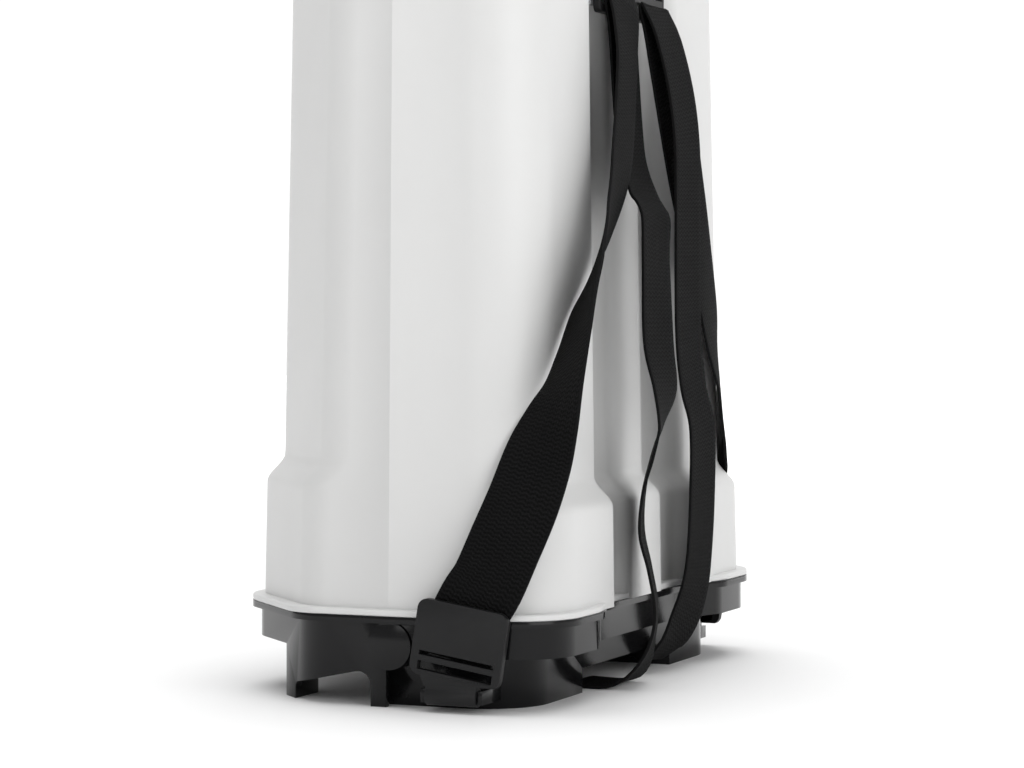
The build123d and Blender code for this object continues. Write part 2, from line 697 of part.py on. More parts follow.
def make_pressure_chamber():
    """Air vessel over the barrel: a collar on the barrel and a domed bottle."""
    collar_foot = CYLINDER_TOP - CHAMBER_COLLAR
    top = collar_foot + CHAMBER_LENGTH
    shape = upright(0, PUMP_Y, collar_foot, top, CHAMBER_RADIUS)
    shape = fillet(shape.edges().group_by(Axis.Z)[-1], CHAMBER_RADIUS * 0.6)
    inside = upright(
        0, PUMP_Y, collar_foot + CHAMBER_WALL, top - CHAMBER_WALL, CHAMBER_RADIUS - CHAMBER_WALL
    )
    inside = fillet(inside.edges().group_by(Axis.Z)[-1], CHAMBER_RADIUS * 0.6 - CHAMBER_WALL)
    inside -= upright(0, PUMP_Y, collar_foot, CYLINDER_TOP, CYLINDER_OUTER + CHAMBER_WALL)
    shape -= inside
    shape -= upright(0, PUMP_Y, collar_foot - 1, CYLINDER_TOP, CYLINDER_OUTER)
    shape -= upright(OUTLET_X, OUTLET_Y, collar_foot - 1, collar_foot + 5, OUTLET_RADIUS)
    return shape


def make_chamber_o_ring():
    """Square-cut ring that seals the chamber's collar from below."""
    top = CYLINDER_TOP - CHAMBER_COLLAR
    outer = CYLINDER_OUTER + O_RING_SECTION
    return tube(0, PUMP_Y, top - O_RING_SECTION, top, outer, CYLINDER_OUTER)


def make_outlet_tube():
    """Pipe from the chamber's floor down through the tank's pocket."""
    foot = POCKET_ROOF - OUTLET_DROP
    top = CYLINDER_TOP - CHAMBER_COLLAR + CHAMBER_WALL
    return tube(OUTLET_X, OUTLET_Y, foot, top, OUTLET_RADIUS, OUTLET_BORE)


def make_hose_nipple():
    """Barbed hose tail that points down inside the base."""
    top = POCKET_ROOF - OUTLET_DROP
    hex_foot = top - NIPPLE_HEX_HEIGHT
    foot = hex_foot - NIPPLE_LENGTH
    hexagon = Pos(OUTLET_X, OUTLET_Y, hex_foot) * RegularPolygon(NIPPLE_HEX / 2, 6)
    shape = extrude(hexagon, NIPPLE_HEX_HEIGHT)
    pitch = (NIPPLE_LENGTH - 4.0) / NIPPLE_BARB_COUNT
    shape += upright(OUTLET_X, OUTLET_Y, foot, hex_foot, OUTLET_RADIUS)
    for i in range(NIPPLE_BARB_COUNT):
        z = foot + pitch * (i + 0.5)
        barb = Cone(OUTLET_RADIUS, NIPPLE_BARB, pitch)
        shape += Pos(OUTLET_X, OUTLET_Y, z) * barb
    shape -= upright(OUTLET_X, OUTLET_Y, foot - 1, top + 1, OUTLET_BORE)
    return shape


def make_piston_rod():
    """Rod from the yoke up to the piston."""
    foot = CRANK_START_Z + PIN_RADIUS + YOKE_PLAY + YOKE_WALL
    return upright(0, PUMP_Y, foot, PISTON_START, ROD_RADIUS)


def make_piston():
    """Piston with four liquid passages."""
    radius = CYLINDER_BORE - RUNNING_FIT
    top = PISTON_START + PISTON_HEIGHT
    shape = upright(0, PUMP_Y, PISTON_START, top, radius)
    for i in range(4):
        angle = radians(45.0 + 90.0 * i)
        x = PISTON_PORT_PLACE * cos(angle)
        y = PUMP_Y + PISTON_PORT_PLACE * sin(angle)
        shape -= upright(x, y, PISTON_START - 1, top + 1, PISTON_PORT_RADIUS)
    return shape


def make_piston_cup():
    """Rubber cup that seals the piston and flaps over its passages."""
    foot = PISTON_START + PISTON_HEIGHT
    shape = upright(0, PUMP_Y, foot, CUP_TOP, CYLINDER_BORE - RUNNING_FIT)
    inner = CYLINDER_BORE - PISTON_CUP_WALL
    return shape - upright(0, PUMP_Y, foot + PISTON_CUP_HEIGHT, CUP_TOP + 1, inner)


def make_yoke():
    """Block under the rod with the cross slot for the crank pin."""
    slot_half_z = PIN_RADIUS + YOKE_PLAY
    half_z = slot_half_z + YOKE_WALL
    z = CRANK_START_Z
    shape = box(
        -YOKE_HALF_X, YOKE_HALF_X, PUMP_Y - YOKE_HALF_Y, PUMP_Y + YOKE_HALF_Y, z - half_z, z + half_z
    )
    shape = fillet(shape.edges().filter_by(Axis.X), 3.0)
    shape -= box(
        -YOKE_HALF_X - 1,
        YOKE_HALF_X + 1,
        PUMP_Y - YOKE_SLOT_HALF,
        PUMP_Y + YOKE_SLOT_HALF,
        z - slot_half_z,
        z + slot_half_z,
    )
    return shape


# --- Lever ---------------------------------------------------------------------
NEAR_BEARING_END = -SHAFT_BOSS_OUT + BASE_WALL


def make_shaft():
    """Steel shaft across the base, from the closed boss to the lever's hub."""
    return across(NEAR_BEARING_END + 1.0, HUB_OUTER_X, SHAFT_Y, SHAFT_Z, SHAFT_RADIUS)


def make_bush(x0, x1):
    """Plain bearing bush for the shaft."""
    bore = SHAFT_RADIUS + RUNNING_FIT
    shape = across(x0, x1, SHAFT_Y, SHAFT_Z, bore + BUSH_WALL)
    return shape - across(x0 - 1, x1 + 1, SHAFT_Y, SHAFT_Z, bore)


def make_crank():
    """Crank arm keyed on the shaft, with the hole for its pin."""
    x0 = CRANK_X
    x1 = CRANK_X + CRANK_THICKNESS
    hub = across(x0, x1 + 6.0, SHAFT_Y, SHAFT_Z, CRANK_HUB_RADIUS)
    end = across(x0, x1, CRANK_START_Y, CRANK_START_Z, CRANK_END_RADIUS)
    web = Pos((x0 + x1) / 2, (SHAFT_Y + CRANK_START_Y) / 2, (SHAFT_Z + CRANK_START_Z) / 2)
    web *= Rot(CRANK_REST_ANGLE, 0, 0)
    shape = hub + end + web * Box(CRANK_THICKNESS, CRANK_RADIUS, 2 * CRANK_END_RADIUS)
    shape -= across(x0 - 1, x1 + 7.0, SHAFT_Y, SHAFT_Z, SHAFT_RADIUS)
    shape -= across(x0 - 1, x1 + 1, CRANK_START_Y, CRANK_START_Z, PIN_RADIUS)
    return shape


def make_crank_pin():
    """Pin that drives the yoke."""
    return across(
        -YOKE_HALF_X, CRANK_X + CRANK_THICKNESS, CRANK_START_Y, CRANK_START_Z, PIN_RADIUS
    )


def make_lever_hub():
    """Hub on the shaft's end, with an upright socket for the arm."""
    shape = across(HUB_INNER_X, HUB_OUTER_X, SHAFT_Y, SHAFT_Z, HUB_BOSS_RADIUS)
    socket = box(
        HUB_STEP_X,
        HUB_OUTER_X,
        SHAFT_Y - HUB_HALF_WIDTH,
        SHAFT_Y + HUB_HALF_WIDTH,
        SHAFT_Z,
        HUB_TOP,
    )
    socket = fillet(socket.edges().filter_by(Axis.X).group_by(Axis.Z)[-1], 8.0)
    shape += socket + across(HUB_STEP_X, HUB_OUTER_X, SHAFT_Y, SHAFT_Z, HUB_HALF_WIDTH)
    shape -= arm_bar()
    shape -= across(HUB_INNER_X - 1, HUB_OUTER_X + 1, SHAFT_Y, SHAFT_Z, SHAFT_RADIUS)
    for z in BOLT_HEIGHTS:
        shape -= across(HUB_STEP_X - 1, HUB_OUTER_X + 1, SHAFT_Y, z, BOLT_RADIUS)
    return shape


ARM_X = (HUB_STEP_X + HUB_OUTER_X) / 2


def arm_bar():
    """The arm's flat bar, before it is drilled."""
    return box(
        ARM_X - ARM_THICKNESS / 2,
        ARM_X + ARM_THICKNESS / 2,
        SHAFT_Y - ARM_WIDTH / 2,
        SHAFT_Y + ARM_WIDTH / 2,
        ARM_FOOT,
        ARM_TOP,
    )


def make_lever_arm():
    """Flat steel arm."""
    shape = arm_bar()
    for z in BOLT_HEIGHTS:
        shape -= across(HUB_STEP_X - 1, HUB_OUTER_X + 1, SHAFT_Y, z, BOLT_RADIUS)
    return shape


def make_lever_bolts():
    """Two bolts through the hub and the arm."""
    bolts = []
    for z in BOLT_HEIGHTS:
        bolt = across(HUB_STEP_X, HUB_OUTER_X, SHAFT_Y, z, BOLT_RADIUS)
        head = across(
            HUB_OUTER_X, HUB_OUTER_X + BOLT_HEAD_HEIGHT, SHAFT_Y, z, BOLT_HEAD_RADIUS
        )
        bolts.append(bolt + head)
    return Compound(bolts)


def make_lever_grip():
    """Moulded grip over the arm's upper end."""
    z0 = ARM_TOP - GRIP_LENGTH
    z1 = ARM_TOP + GRIP_END
    shape = box(
        ARM_X - GRIP_THICKNESS / 2,
        ARM_X + GRIP_THICKNESS / 2,
        SHAFT_Y - GRIP_WIDTH / 2,
        SHAFT_Y + GRIP_WIDTH / 2,
        z0,
        z1,
    )
    shape = fillet(shape.edges().filter_by(Axis.Z), GRIP_THICKNESS * 0.45)
    return shape - arm_bar()


def make_shaft_clip():
    """Retaining clip on the shaft, inside the wall bearing."""
    x = SHAFT_BOSS_OUT - SHAFT_BOSS_LENGTH - CLIP_THICKNESS - 0.3
    shape = across(x, x + CLIP_THICKNESS, SHAFT_Y, SHAFT_Z, CLIP_RADIUS)
    return shape - across(x - 1, x + CLIP_THICKNESS + 1, SHAFT_Y, SHAFT_Z, SHAFT_RADIUS)


# --- Harness -------------------------------------------------------------------
def make_buckle(side):
    """Strap buckle: slotted plate, tongue and the barrel that turns on the bar."""
    outer = BUCKLE_PIN_RADIUS + RUNNING_FIT + BUCKLE_BARREL_WALL
    plate_x = BUCKLE_PIN_X + 1.5
    half = BUCKLE_PLATE_WIDTH / 2
    plate = box(
        -BUCKLE_PLATE_THICKNESS / 2,
        BUCKLE_PLATE_THICKNESS / 2,
        -half,
        half,
        BUCKLE_PLATE_FOOT,
        BUCKLE_PLATE_FOOT + BUCKLE_PLATE_HEIGHT,
    )
    plate = fillet(plate.edges().filter_by(Axis.X), BUCKLE_PLATE_RADIUS)
    tongue_points = [
        (-BUCKLE_BARREL_HALF, BUCKLE_PIN_Z),
        (BUCKLE_BARREL_HALF, BUCKLE_PIN_Z),
        (half - 6.0, BUCKLE_PLATE_FOOT + 2.0),
        (-half + 6.0, BUCKLE_PLATE_FOOT + 2.0),
    ]
    tongue = extrude(
        make_face(Plane.YZ * Polyline(*tongue_points, close=True)),
        BUCKLE_PLATE_THICKNESS / 2,
        both=True,
    )
    plate += tongue
    for z, height in BUCKLE_SLOTS:
        slot_half = BUCKLE_SLOT_LENGTH / 2
        plate -= box(-9.0, 9.0, -slot_half, slot_half, z, z + height)
    plate = Pos(0, 0, BUCKLE_PIN_Z) * Rot(BUCKLE_TILT, 0, 0) * Pos(0, 0, -BUCKLE_PIN_Z) * plate
    shape = Pos(plate_x, BUCKLE_Y, 0) * plate
    y0 = BUCKLE_Y - BUCKLE_BARREL_HALF
    y1 = BUCKLE_Y + BUCKLE_BARREL_HALF
    room = box(0, 250, y0 - 50, y1 + 50, -50, 250) - box(0, 250, y0, y1, -50, 250)
    below = box(0, 250, y0 - 50, y1 + 50, -50, BUCKLE_PIN_Z + outer + 0.5)
    shape -= room & below
    shape += along(BUCKLE_PIN_X, y0, y1, BUCKLE_PIN_Z, outer)
    shape -= along(
        BUCKLE_PIN_X, y0 - 1, y1 + 1, BUCKLE_PIN_Z, BUCKLE_PIN_RADIUS + RUNNING_FIT
    )
    return shape if side > 0 else mirror(shape, Plane.YZ)


def webbing(stations):
    """Flat webbing through stations of a centre and a direction across it."""
    centres = [Vector(*centre) for centre, _ in stations]
    faces = []
    for i, (_, across_way) in enumerate(stations):
        before = centres[max(i - 1, 0)]
        after = centres[min(i + 1, len(centres) - 1)]
        run = (after - before).normalized()
        wide = Vector(*across_way)
        wide = (wide - run * wide.dot(run)).normalized()
        plane = Plane(origin=centres[i], x_dir=wide, z_dir=run)
        faces.append(plane * Rectangle(WEBBING_WIDTH, WEBBING_THICKNESS))
    return loft(faces, ruled=True)


# Each strap has a main run, from the buckle up to its adjuster, and a tail that
# hangs from the adjuster. Each station has a centre and a direction across it.
RIGHT_RUN = (
    ((-189.5, -50.0, 66.5), (0.0, 1.0, 0.2)),
    ((-187.0, -65.0, 98.0), (0.02, 1.0, 0.4)),
    ((-184.5, -74.8, 121.5), (0.05, 1.0, 0.3)),
    ((-179.5, -81.6, 145.0), (0.14, 0.98, 0.2)),
    ((-175.5, -88.4, 168.0), (0.41, 0.91, 0.1)),
    ((-168.0, -93.3, 191.0), (0.66, 0.75, 0.0)),
    ((-153.5, -93.8, 214.0), (0.78, 0.63, 0.0)),
    ((-133.0, -91.6, 237.0), (0.85, 0.53, 0.0)),
    ((-108.0, -89.6, 260.5), (0.92, 0.39, 0.0)),
    ((-88.0, -89.6, 285.0), (0.97, 0.26, 0.0)),
    ((-64.5, -88.8, 323.0), (0.99, 0.12, 0.0)),
    ((-45.0, -84.6, 374.0), (0.99, 0.13, 0.0)),
    ((-37.0, -81.0, 400.0), (1.0, 0.09, 0.0)),
    ((-29.5, -76.0, 424.0), (1.0, 0.0, 0.0)),
)
RIGHT_TAIL = (
    ((-29.5, -73.1, 424.0), (1.0, 0.0, 0.0)),
    ((-28.0, -75.6, 400.0), (1.0, 0.0, 0.0)),
    ((-27.0, -78.8, 348.0), (1.0, 0.0, 0.0)),
    ((-26.0, -81.5, 322.0), (1.0, 0.0, 0.0)),
    ((-26.0, -89.0, 302.0), (1.0, 0.0, 0.0)),
    ((-30.0, -97.5, 288.0), (1.0, 0.0, 0.0)),
    ((-35.0, -100.0, 262.0), (1.0, 0.0, 0.0)),
    ((-36.0, -102.0, 212.0), (1.0, -0.04, 0.0)),
    ((-36.0, -106.5, 182.0), (1.0, 0.06, 0.0)),
    ((-36.0, -104.0, 160.0), (0.94, 0.3, 0.0)),
    ((-36.0, -98.8, 143.0), (0.93, 0.36, 0.0)),
    ((-36.0, -92.6, 120.0), (0.94, 0.32, 0.0)),
    ((-36.0, -91.0, 95.0), (0.95, 0.3, 0.0)),
    ((-36.0, -96.4, 72.0), (0.94, 0.32, 0.0)),
    ((-36.0, -100.5, 48.0), (0.94, 0.32, 0.0)),
    ((-36.0, -97.5, 28.0), (0.95, 0.28, 0.0)),
    ((-36.0, -89.0, 10.0), (0.99, 0.1, 0.0)),
    ((-36.0, -76.0, 1.4), (1.0, 0.0, 0.0)),
    ((-36.0, -50.0, 1.4), (1.0, 0.0, 0.0)),
)
LEFT_RUN = (
    ((189.5, -50.0, 66.5), (0.0, 1.0, 0.2)),
    ((186.5, -62.0, 98.0), (0.17, 0.98, 0.3)),
    ((182.6, -67.4, 112.0), (0.42, 0.9, 0.25)),
    ((174.6, -73.4, 127.0), (0.7, 0.7, 0.2)),
    ((164.4, -75.0, 145.0), (0.87, 0.5, 0.1)),
    ((153.4, -78.0, 165.0), (0.93, 0.37, 0.0)),
    ((139.4, -80.4, 190.0), (0.95, 0.31, 0.0)),
    ((121.0, -82.4, 216.0), (0.98, 0.17, 0.0)),
    ((100.0, -83.6, 250.0), (1.0, 0.08, 0.0)),
    ((68.0, -84.6, 303.0), (0.99, -0.08, 0.0)),
    ((46.0, -83.6, 354.0), (0.99, -0.15, 0.0)),
    ((33.0, -78.6, 400.0), (0.99, -0.1, 0.0)),
    ((29.5, -73.1, 424.0), (1.0, 0.0, 0.0)),
)
LEFT_TAIL = (
    ((29.5, -76.0, 424.0), (1.0, 0.0, 0.0)),
    ((31.0, -83.5, 404.0), (1.0, 0.0, 0.0)),
    ((36.0, -90.0, 372.0), (1.0, 0.0, 0.0)),
    ((41.0, -92.6, 338.0), (1.0, 0.0, 0.0)),
    ((43.0, -92.6, 300.0), (1.0, 0.0, 0.0)),
    ((46.0, -91.8, 221.0), (1.0, 0.0, 0.0)),
    ((50.0, -93.7, 183.0), (1.0, 0.0, 0.0)),
    ((54.5, -98.2, 156.0), (1.0, 0.0, 0.0)),
    ((57.0, -97.4, 115.0), (1.0, 0.0, 0.0)),
    ((57.5, -95.2, 75.0), (1.0, 0.0, 0.0)),
    ((56.0, -92.1, 51.0), (1.0, -0.05, 0.0)),
    ((51.5, -86.8, 32.0), (1.0, -0.1, 0.0)),
    ((46.0, -79.6, 17.5), (1.0, -0.05, 0.0)),
    ((43.5, -68.5, 7.0), (1.0, 0.0, 0.0)),
)
DRAWN_ANCHOR_Z = 430.0
DRAWN_HALF_WIDTH = 185.0


def hung(station):
    """A strap station, moved with the tank's width and the anchor's height."""
    (x, y, z), wide = station
    reach = (abs(x) - ADJUSTER_X) / (DRAWN_HALF_WIDTH - ADJUSTER_X)
    out = max(reach, 0.0) * (FLANGE_HALF_WIDTH - DRAWN_HALF_WIDTH)
    flare_top = WEARER_FLARE_FOOT + FLARE_HEIGHT
    climb = max(z - flare_top, 0.0) / (DRAWN_ANCHOR_Z - flare_top)
    up = climb * (ANCHOR_Z - DRAWN_ANCHOR_Z)
    return (x + (out if x > 0 else -out), y, z + up), wide


def make_strap(run, tail):
    """One strap: its main run and the tail that hangs from its adjuster."""
    return Compound([webbing([hung(station) for station in part]) for part in (run, tail)])


def anchor_back():
    """Y of the tank's middle ridge where the anchor plate sits."""
    foot = ANCHOR_Z - ANCHOR_HEIGHT / 2
    draft = (foot - TANK_FOOT) * tan(radians(TANK_DRAFT))
    return -(FLANGE_LOBE - TANK_LEDGE - draft - FLARE) + RIDGE_SETBACK


def make_strap_anchor():
    """Plate on the tank's ridge that both adjusters are riveted to."""
    back = anchor_back() - ANCHOR_GAP
    return box(
        -ANCHOR_HALF_WIDTH,
        ANCHOR_HALF_WIDTH,
        back - ANCHOR_THICKNESS,
        back,
        ANCHOR_Z - ANCHOR_HEIGHT / 2,
        ANCHOR_Z + ANCHOR_HEIGHT / 2,
    )


def make_adjuster(side):
    """Three-bar slide that the webbing turns round."""
    x = side * ADJUSTER_X
    half = ADJUSTER_WIDTH / 2
    y1 = anchor_back() - ANCHOR_GAP - ANCHOR_THICKNESS
    top = ANCHOR_Z + ANCHOR_HEIGHT / 2
    shape = box(x - half, x + half, y1 - ADJUSTER_THICKNESS, y1, top - ADJUSTER_HEIGHT, top)
    shape = fillet(shape.edges().filter_by(Axis.Y), 4.0)
    for i in (0, 1):
        z0 = top - ADJUSTER_HEIGHT + ADJUSTER_BAR
        z0 += i * (ADJUSTER_SLOT_HEIGHT + ADJUSTER_BAR)
        slot = WEBBING_WIDTH / 2 + 1.0
        shape -= box(x - slot, x + slot, y1 - 20, y1 + 1, z0, z0 + ADJUSTER_SLOT_HEIGHT)
    return shape


def main():
    """Build every node and write it."""
    os.makedirs("parts", exist_ok=True)
    save("base", make_base())
    save("base_screws", make_base_screws())
    save("tank", make_tank())
    save("strainer_basket", make_strainer())
    save("cap_gasket", make_cap_gasket())
    save("filler_cap", make_filler_cap())
    save("vent_valve", make_vent_valve())
    save("carry_handle", make_handle())
    save("handle_studs", make_handle_studs())
    save("pump_flange", make_pump_flange())
    save("pump_seal_ring", make_pump_seal_ring())
    save("rod_seal", make_rod_seal())
    save("pump_ring_nut", make_ring_nut())
    save("pump_cylinder", make_cylinder())
    save("delivery_seat", make_delivery_seat())
    save("delivery_valve", make_delivery_valve())
    save("valve_cage", make_valve_cage())
    save("pressure_chamber", make_pressure_chamber())
    save("chamber_o_ring", make_chamber_o_ring())
    save("outlet_tube", make_outlet_tube())
    save("hose_nipple", make_hose_nipple())
    save("piston_rod", make_piston_rod())
    save("piston", make_piston())
    save("piston_cup", make_piston_cup())
    save("piston_yoke", make_yoke())
    save("lever_shaft", make_shaft())
    save("shaft_bush_right", make_bush(NEAR_BEARING_END, NEAR_BEARING_END + NEAR_BUSH_LENGTH))
    save("shaft_bush_left", make_bush(SHAFT_BOSS_OUT - SHAFT_BOSS_LENGTH, SHAFT_BOSS_OUT))
    save("shaft_clip", make_shaft_clip())
    save("crank_arm", make_crank())
    save("crank_pin", make_crank_pin())
    save("lever_hub", make_lever_hub())
    save("lever_arm", make_lever_arm())
    save("lever_bolts", make_lever_bolts())
    save("lever_grip", make_lever_grip())
    save("strap_buckle_right", make_buckle(-1))
    save("strap_buckle_left", make_buckle(1))
    save("strap_right", make_strap(RIGHT_RUN, RIGHT_TAIL))
    save("strap_left", make_strap(LEFT_RUN, LEFT_TAIL))
    save("strap_anchor", make_strap_anchor())
    save("strap_adjuster_right", make_adjuster(-1))
    save("strap_adjuster_left", make_adjuster(1))


if __name__ == "__main__":
    main()
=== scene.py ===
import json
import logging
from contextlib import contextmanager
from dataclasses import dataclass
from enum import Enum
from math import cos, pi, radians, sin, tan
from typing import Callable, Iterator, Sequence

import bmesh
import bpy
from mathutils import Matrix, Vector


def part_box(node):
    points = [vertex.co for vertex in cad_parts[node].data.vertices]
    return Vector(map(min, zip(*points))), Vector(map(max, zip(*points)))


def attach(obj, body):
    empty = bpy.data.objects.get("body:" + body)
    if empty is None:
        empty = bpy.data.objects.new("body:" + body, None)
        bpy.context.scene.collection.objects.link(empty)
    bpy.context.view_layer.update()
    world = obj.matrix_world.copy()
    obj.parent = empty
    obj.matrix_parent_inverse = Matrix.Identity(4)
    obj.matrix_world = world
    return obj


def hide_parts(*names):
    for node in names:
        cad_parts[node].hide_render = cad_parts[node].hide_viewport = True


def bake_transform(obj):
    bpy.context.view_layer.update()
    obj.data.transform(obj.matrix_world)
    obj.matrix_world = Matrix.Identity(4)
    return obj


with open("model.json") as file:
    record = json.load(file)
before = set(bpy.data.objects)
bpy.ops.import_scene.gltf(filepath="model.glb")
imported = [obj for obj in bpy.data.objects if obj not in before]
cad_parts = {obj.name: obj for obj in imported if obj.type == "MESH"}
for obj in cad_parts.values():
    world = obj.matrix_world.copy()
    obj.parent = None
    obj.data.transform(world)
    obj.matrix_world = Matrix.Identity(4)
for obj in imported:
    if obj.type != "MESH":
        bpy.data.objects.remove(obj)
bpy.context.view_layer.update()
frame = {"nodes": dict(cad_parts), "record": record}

# Backpack sprayer. Pieces are shaped in millimetres about the tank's middle, with X
# across the wearer and -Y towards the wearer's back, and are then put into the
# frame's metres by Datum.matrix.

LOG = logging.getLogger("sprayer")
Point = tuple[float, float, float]
Test = Callable[[Vector], bool]
MM = 0.001


class Side(Enum):
    """The wearer's side that a piece is on, by the sign of its X."""

    RIGHT = -1
    LEFT = 1

    @property
    def word(self) -> str:
        """The side's name as the nodes spell it."""
        return self.name.lower()


class Pick(Enum):
    """What edit mode selects."""

    VERT = "VERT"
    EDGE = "EDGE"
    FACE = "FACE"


@dataclass(frozen=True)
class Datum:
    """Where the tank's middle lies in the frame, in metres."""

    x: float
    y: float

    @classmethod
    def from_frame(cls, rim_front: float) -> "Datum":
        """Find the tank's middle from the tank node's box.

        Args:
            rim_front: how far the tank's rim reaches in front of its middle, mm.

        Returns:
            The datum of all the pieces.
        """
        low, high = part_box("tank")
        return cls((low[0] + high[0]) / 2, high[1] - rim_front * MM)

    @property
    def matrix(self) -> Matrix:
        """From the pieces' millimetres to the frame's metres."""
        return Matrix.Translation((self.x, self.y, 0.0)) @ Matrix.Scale(MM, 4)

    def at(self, x: float, y: float, z: float) -> Point:
        """A point of the pieces' millimetres in the frame's metres.

        Args:
            x: across the wearer.
            y: away from the wearer.
            z: up.

        Returns:
            The point in metres.
        """
        return (self.x + x * MM, self.y + y * MM, z * MM)


RIM_FRONT = 137.0
RIM_HALF = 185.0
RIM_LOBE = 95.5
DATUM = Datum.from_frame(RIM_FRONT)


# --- Shaping ---------------------------------------------------------------------


class Workpiece:
    """One mesh object that is shaped with Blender's own operators, in millimetres."""

    def __init__(self, name: str) -> None:
        """Take over the active object.

        Args:
            name: the piece's name.
        """
        self.obj = bpy.context.active_object
        self.obj.name = name
        self.obj.data.name = name
        self.pick = Pick.VERT

    @staticmethod
    def deselect() -> None:
        """Select nothing, so that an operator acts on the new piece alone."""
        bpy.ops.object.select_all(action="DESELECT")

    @classmethod
    def block(cls, name: str, low: Point, high: Point) -> "Workpiece":
        """A cube primitive between two corners.

        Args:
            name: the piece's name.
            low: its least corner.
            high: its greatest corner.

        Returns:
            The block.
        """
        cls.deselect()
        centre = [(a + b) / 2 for a, b in zip(low, high)]
        size = [b - a for a, b in zip(low, high)]
        bpy.ops.mesh.primitive_cube_add(size=1.0, location=centre, scale=size)
        return cls(name).settle()

    @classmethod
    def rod(
        cls, name: str, start: Point, end: Point, radius: float, sides: int = 48
    ) -> "Workpiece":
        """A cylinder primitive from one point to another.

        Args:
            name: the piece's name.
            start: the middle of one end.
            end: the middle of the other.
            radius: its radius.
            sides: how many sides it has.

        Returns:
            The rod.
        """
        cls.deselect()
        run = Vector(end) - Vector(start)
        turn = run.to_track_quat("Z", "Y").to_euler()
        centre = (Vector(start) + Vector(end)) / 2
        bpy.ops.mesh.primitive_cylinder_add(
            vertices=sides, radius=radius, depth=run.length, location=centre, rotation=turn
        )
        return cls(name).settle()

    @classmethod
    def from_node(cls, node: str, name: str) -> "Workpiece":
        """A merged copy of a CAD node's mesh, turned back into millimetres.

        Args:
            node: the CAD node.
            name: the piece's name.

        Returns:
            The copy, with its flat areas made one face each.
        """
        cls.deselect()
        mesh = frame["nodes"][node].data.copy()
        mesh.materials.clear()
        mesh.transform(DATUM.matrix.inverted())
        obj = bpy.data.objects.new(name, mesh)
        bpy.context.scene.collection.objects.link(obj)
        bpy.context.view_layer.objects.active = obj
        obj.select_set(True)
        bpy.ops.mesh.customdata_custom_splitnormals_clear()
        piece = cls(name)
        with piece.editing():
            bpy.ops.mesh.select_all(action="SELECT")
            bpy.ops.mesh.remove_doubles(threshold=0.002)
            bpy.ops.mesh.dissolve_limited(angle_limit=radians(0.5))
        return piece

    def settle(self) -> "Workpiece":
        """Put the object's place and size into its mesh."""
        bpy.ops.object.transform_apply(location=True, rotation=True, scale=True)
        return self

    @contextmanager
    def editing(self, pick: Pick = Pick.VERT) -> Iterator[None]:
        """Edit mode on this piece alone, with nothing selected at first.

        Args:
            pick: what is selected.

        Yields:
            Nothing; the piece is in edit mode meanwhile.
        """
        self.deselect()
        self.pick = pick
        bpy.context.view_layer.objects.active = self.obj
        self.obj.select_set(True)
        bpy.ops.object.mode_set(mode="EDIT")
        bpy.ops.mesh.select_mode(type=pick.value)
        bpy.ops.mesh.select_all(action="DESELECT")
        yield
        bpy.ops.object.mode_set(mode="OBJECT")

    def choose(self, test: Test) -> int:
        """Select the elements whose middle passes a test.

        Args:
            test: takes the middle of a vertex, edge or face.

        Returns:
            How many were selected.
        """
        bpy.ops.mesh.select_all(action="DESELECT")
        mesh = bmesh.from_edit_mesh(self.obj.data)
        count = 0
        if self.pick is Pick.VERT:
            places = [(v, v.co) for v in mesh.verts]
        elif self.pick is Pick.EDGE:
            places = [(e, (e.verts[0].co + e.verts[1].co) / 2) for e in mesh.edges]
        else:
            places = [(f, f.calc_center_median()) for f in mesh.faces]
        for item, place in places:
            if test(place):
                item.select = True
                count += 1
        mesh.select_flush_mode()
        bmesh.update_edit_mesh(self.obj.data)
        return count

    @staticmethod
    def slide(x: float = 0.0, y: float = 0.0, z: float = 0.0) -> None:
        """Move what is selected."""
        bpy.ops.transform.translate(value=(x, y, z))

    @staticmethod
    def stretch(x: float, y: float, z: float, centre: Point = (0.0, 0.0, 0.0)) -> None:
        """Scale what is selected about a centre."""
        bpy.ops.transform.resize(value=(x, y, z), center_override=centre)

    @staticmethod
    def extrude(x: float = 0.0, y: float = 0.0, z: float = 0.0) -> None:
        """Extrude what is selected."""
        bpy.ops.mesh.extrude_region_move(TRANSFORM_OT_translate={"value": (x, y, z)})

    @staticmethod
    def cut(point: Point, normal: Point, clear: bool = False) -> None:
        """Bisect the whole mesh.

        Args:
            point: a point of the cutting plane.
            normal: the plane's normal.
            clear: take away what lies beyond the plane.
        """
        bpy.ops.mesh.select_all(action="SELECT")
        bpy.ops.mesh.bisect(plane_co=point, plane_no=normal, clear_outer=clear, use_fill=False)

    @staticmethod
    def round_corners(offset: float, segments: int) -> None:
        """Round the selected corners of a flat outline."""
        bpy.ops.mesh.bevel(
            offset_type="OFFSET", offset=offset, segments=segments, profile=0.5, affect="VERTICES"
        )

    def apply(self, kind: str, **settings: object) -> "Workpiece":
        """Add a modifier, set it and apply it.

        Args:
            kind: the modifier's type.
            **settings: its properties.

        Returns:
            This piece.
        """
        self.deselect()
        bpy.context.view_layer.objects.active = self.obj
        self.obj.select_set(True)
        modifier = self.obj.modifiers.new(kind.title(), kind)
        for key, value in settings.items():
            setattr(modifier, key, value)
        bpy.ops.object.modifier_apply(modifier=modifier.name)
        return self

    def soften(self, width: float, segments: int = 2, angle: float = 32.0) -> "Workpiece":
        """Round every edge sharper than an angle, in degrees.

        Args:
            width: how wide the rounding is.
            segments: how many faces it has.
            angle: the least angle of an edge that is rounded.

        Returns:
            This piece.
        """
        return self.apply(
            "BEVEL",
            width=width,
            segments=segments,
            limit_method="ANGLE",
            angle_limit=radians(angle),
            miter_outer="MITER_ARC",
        )

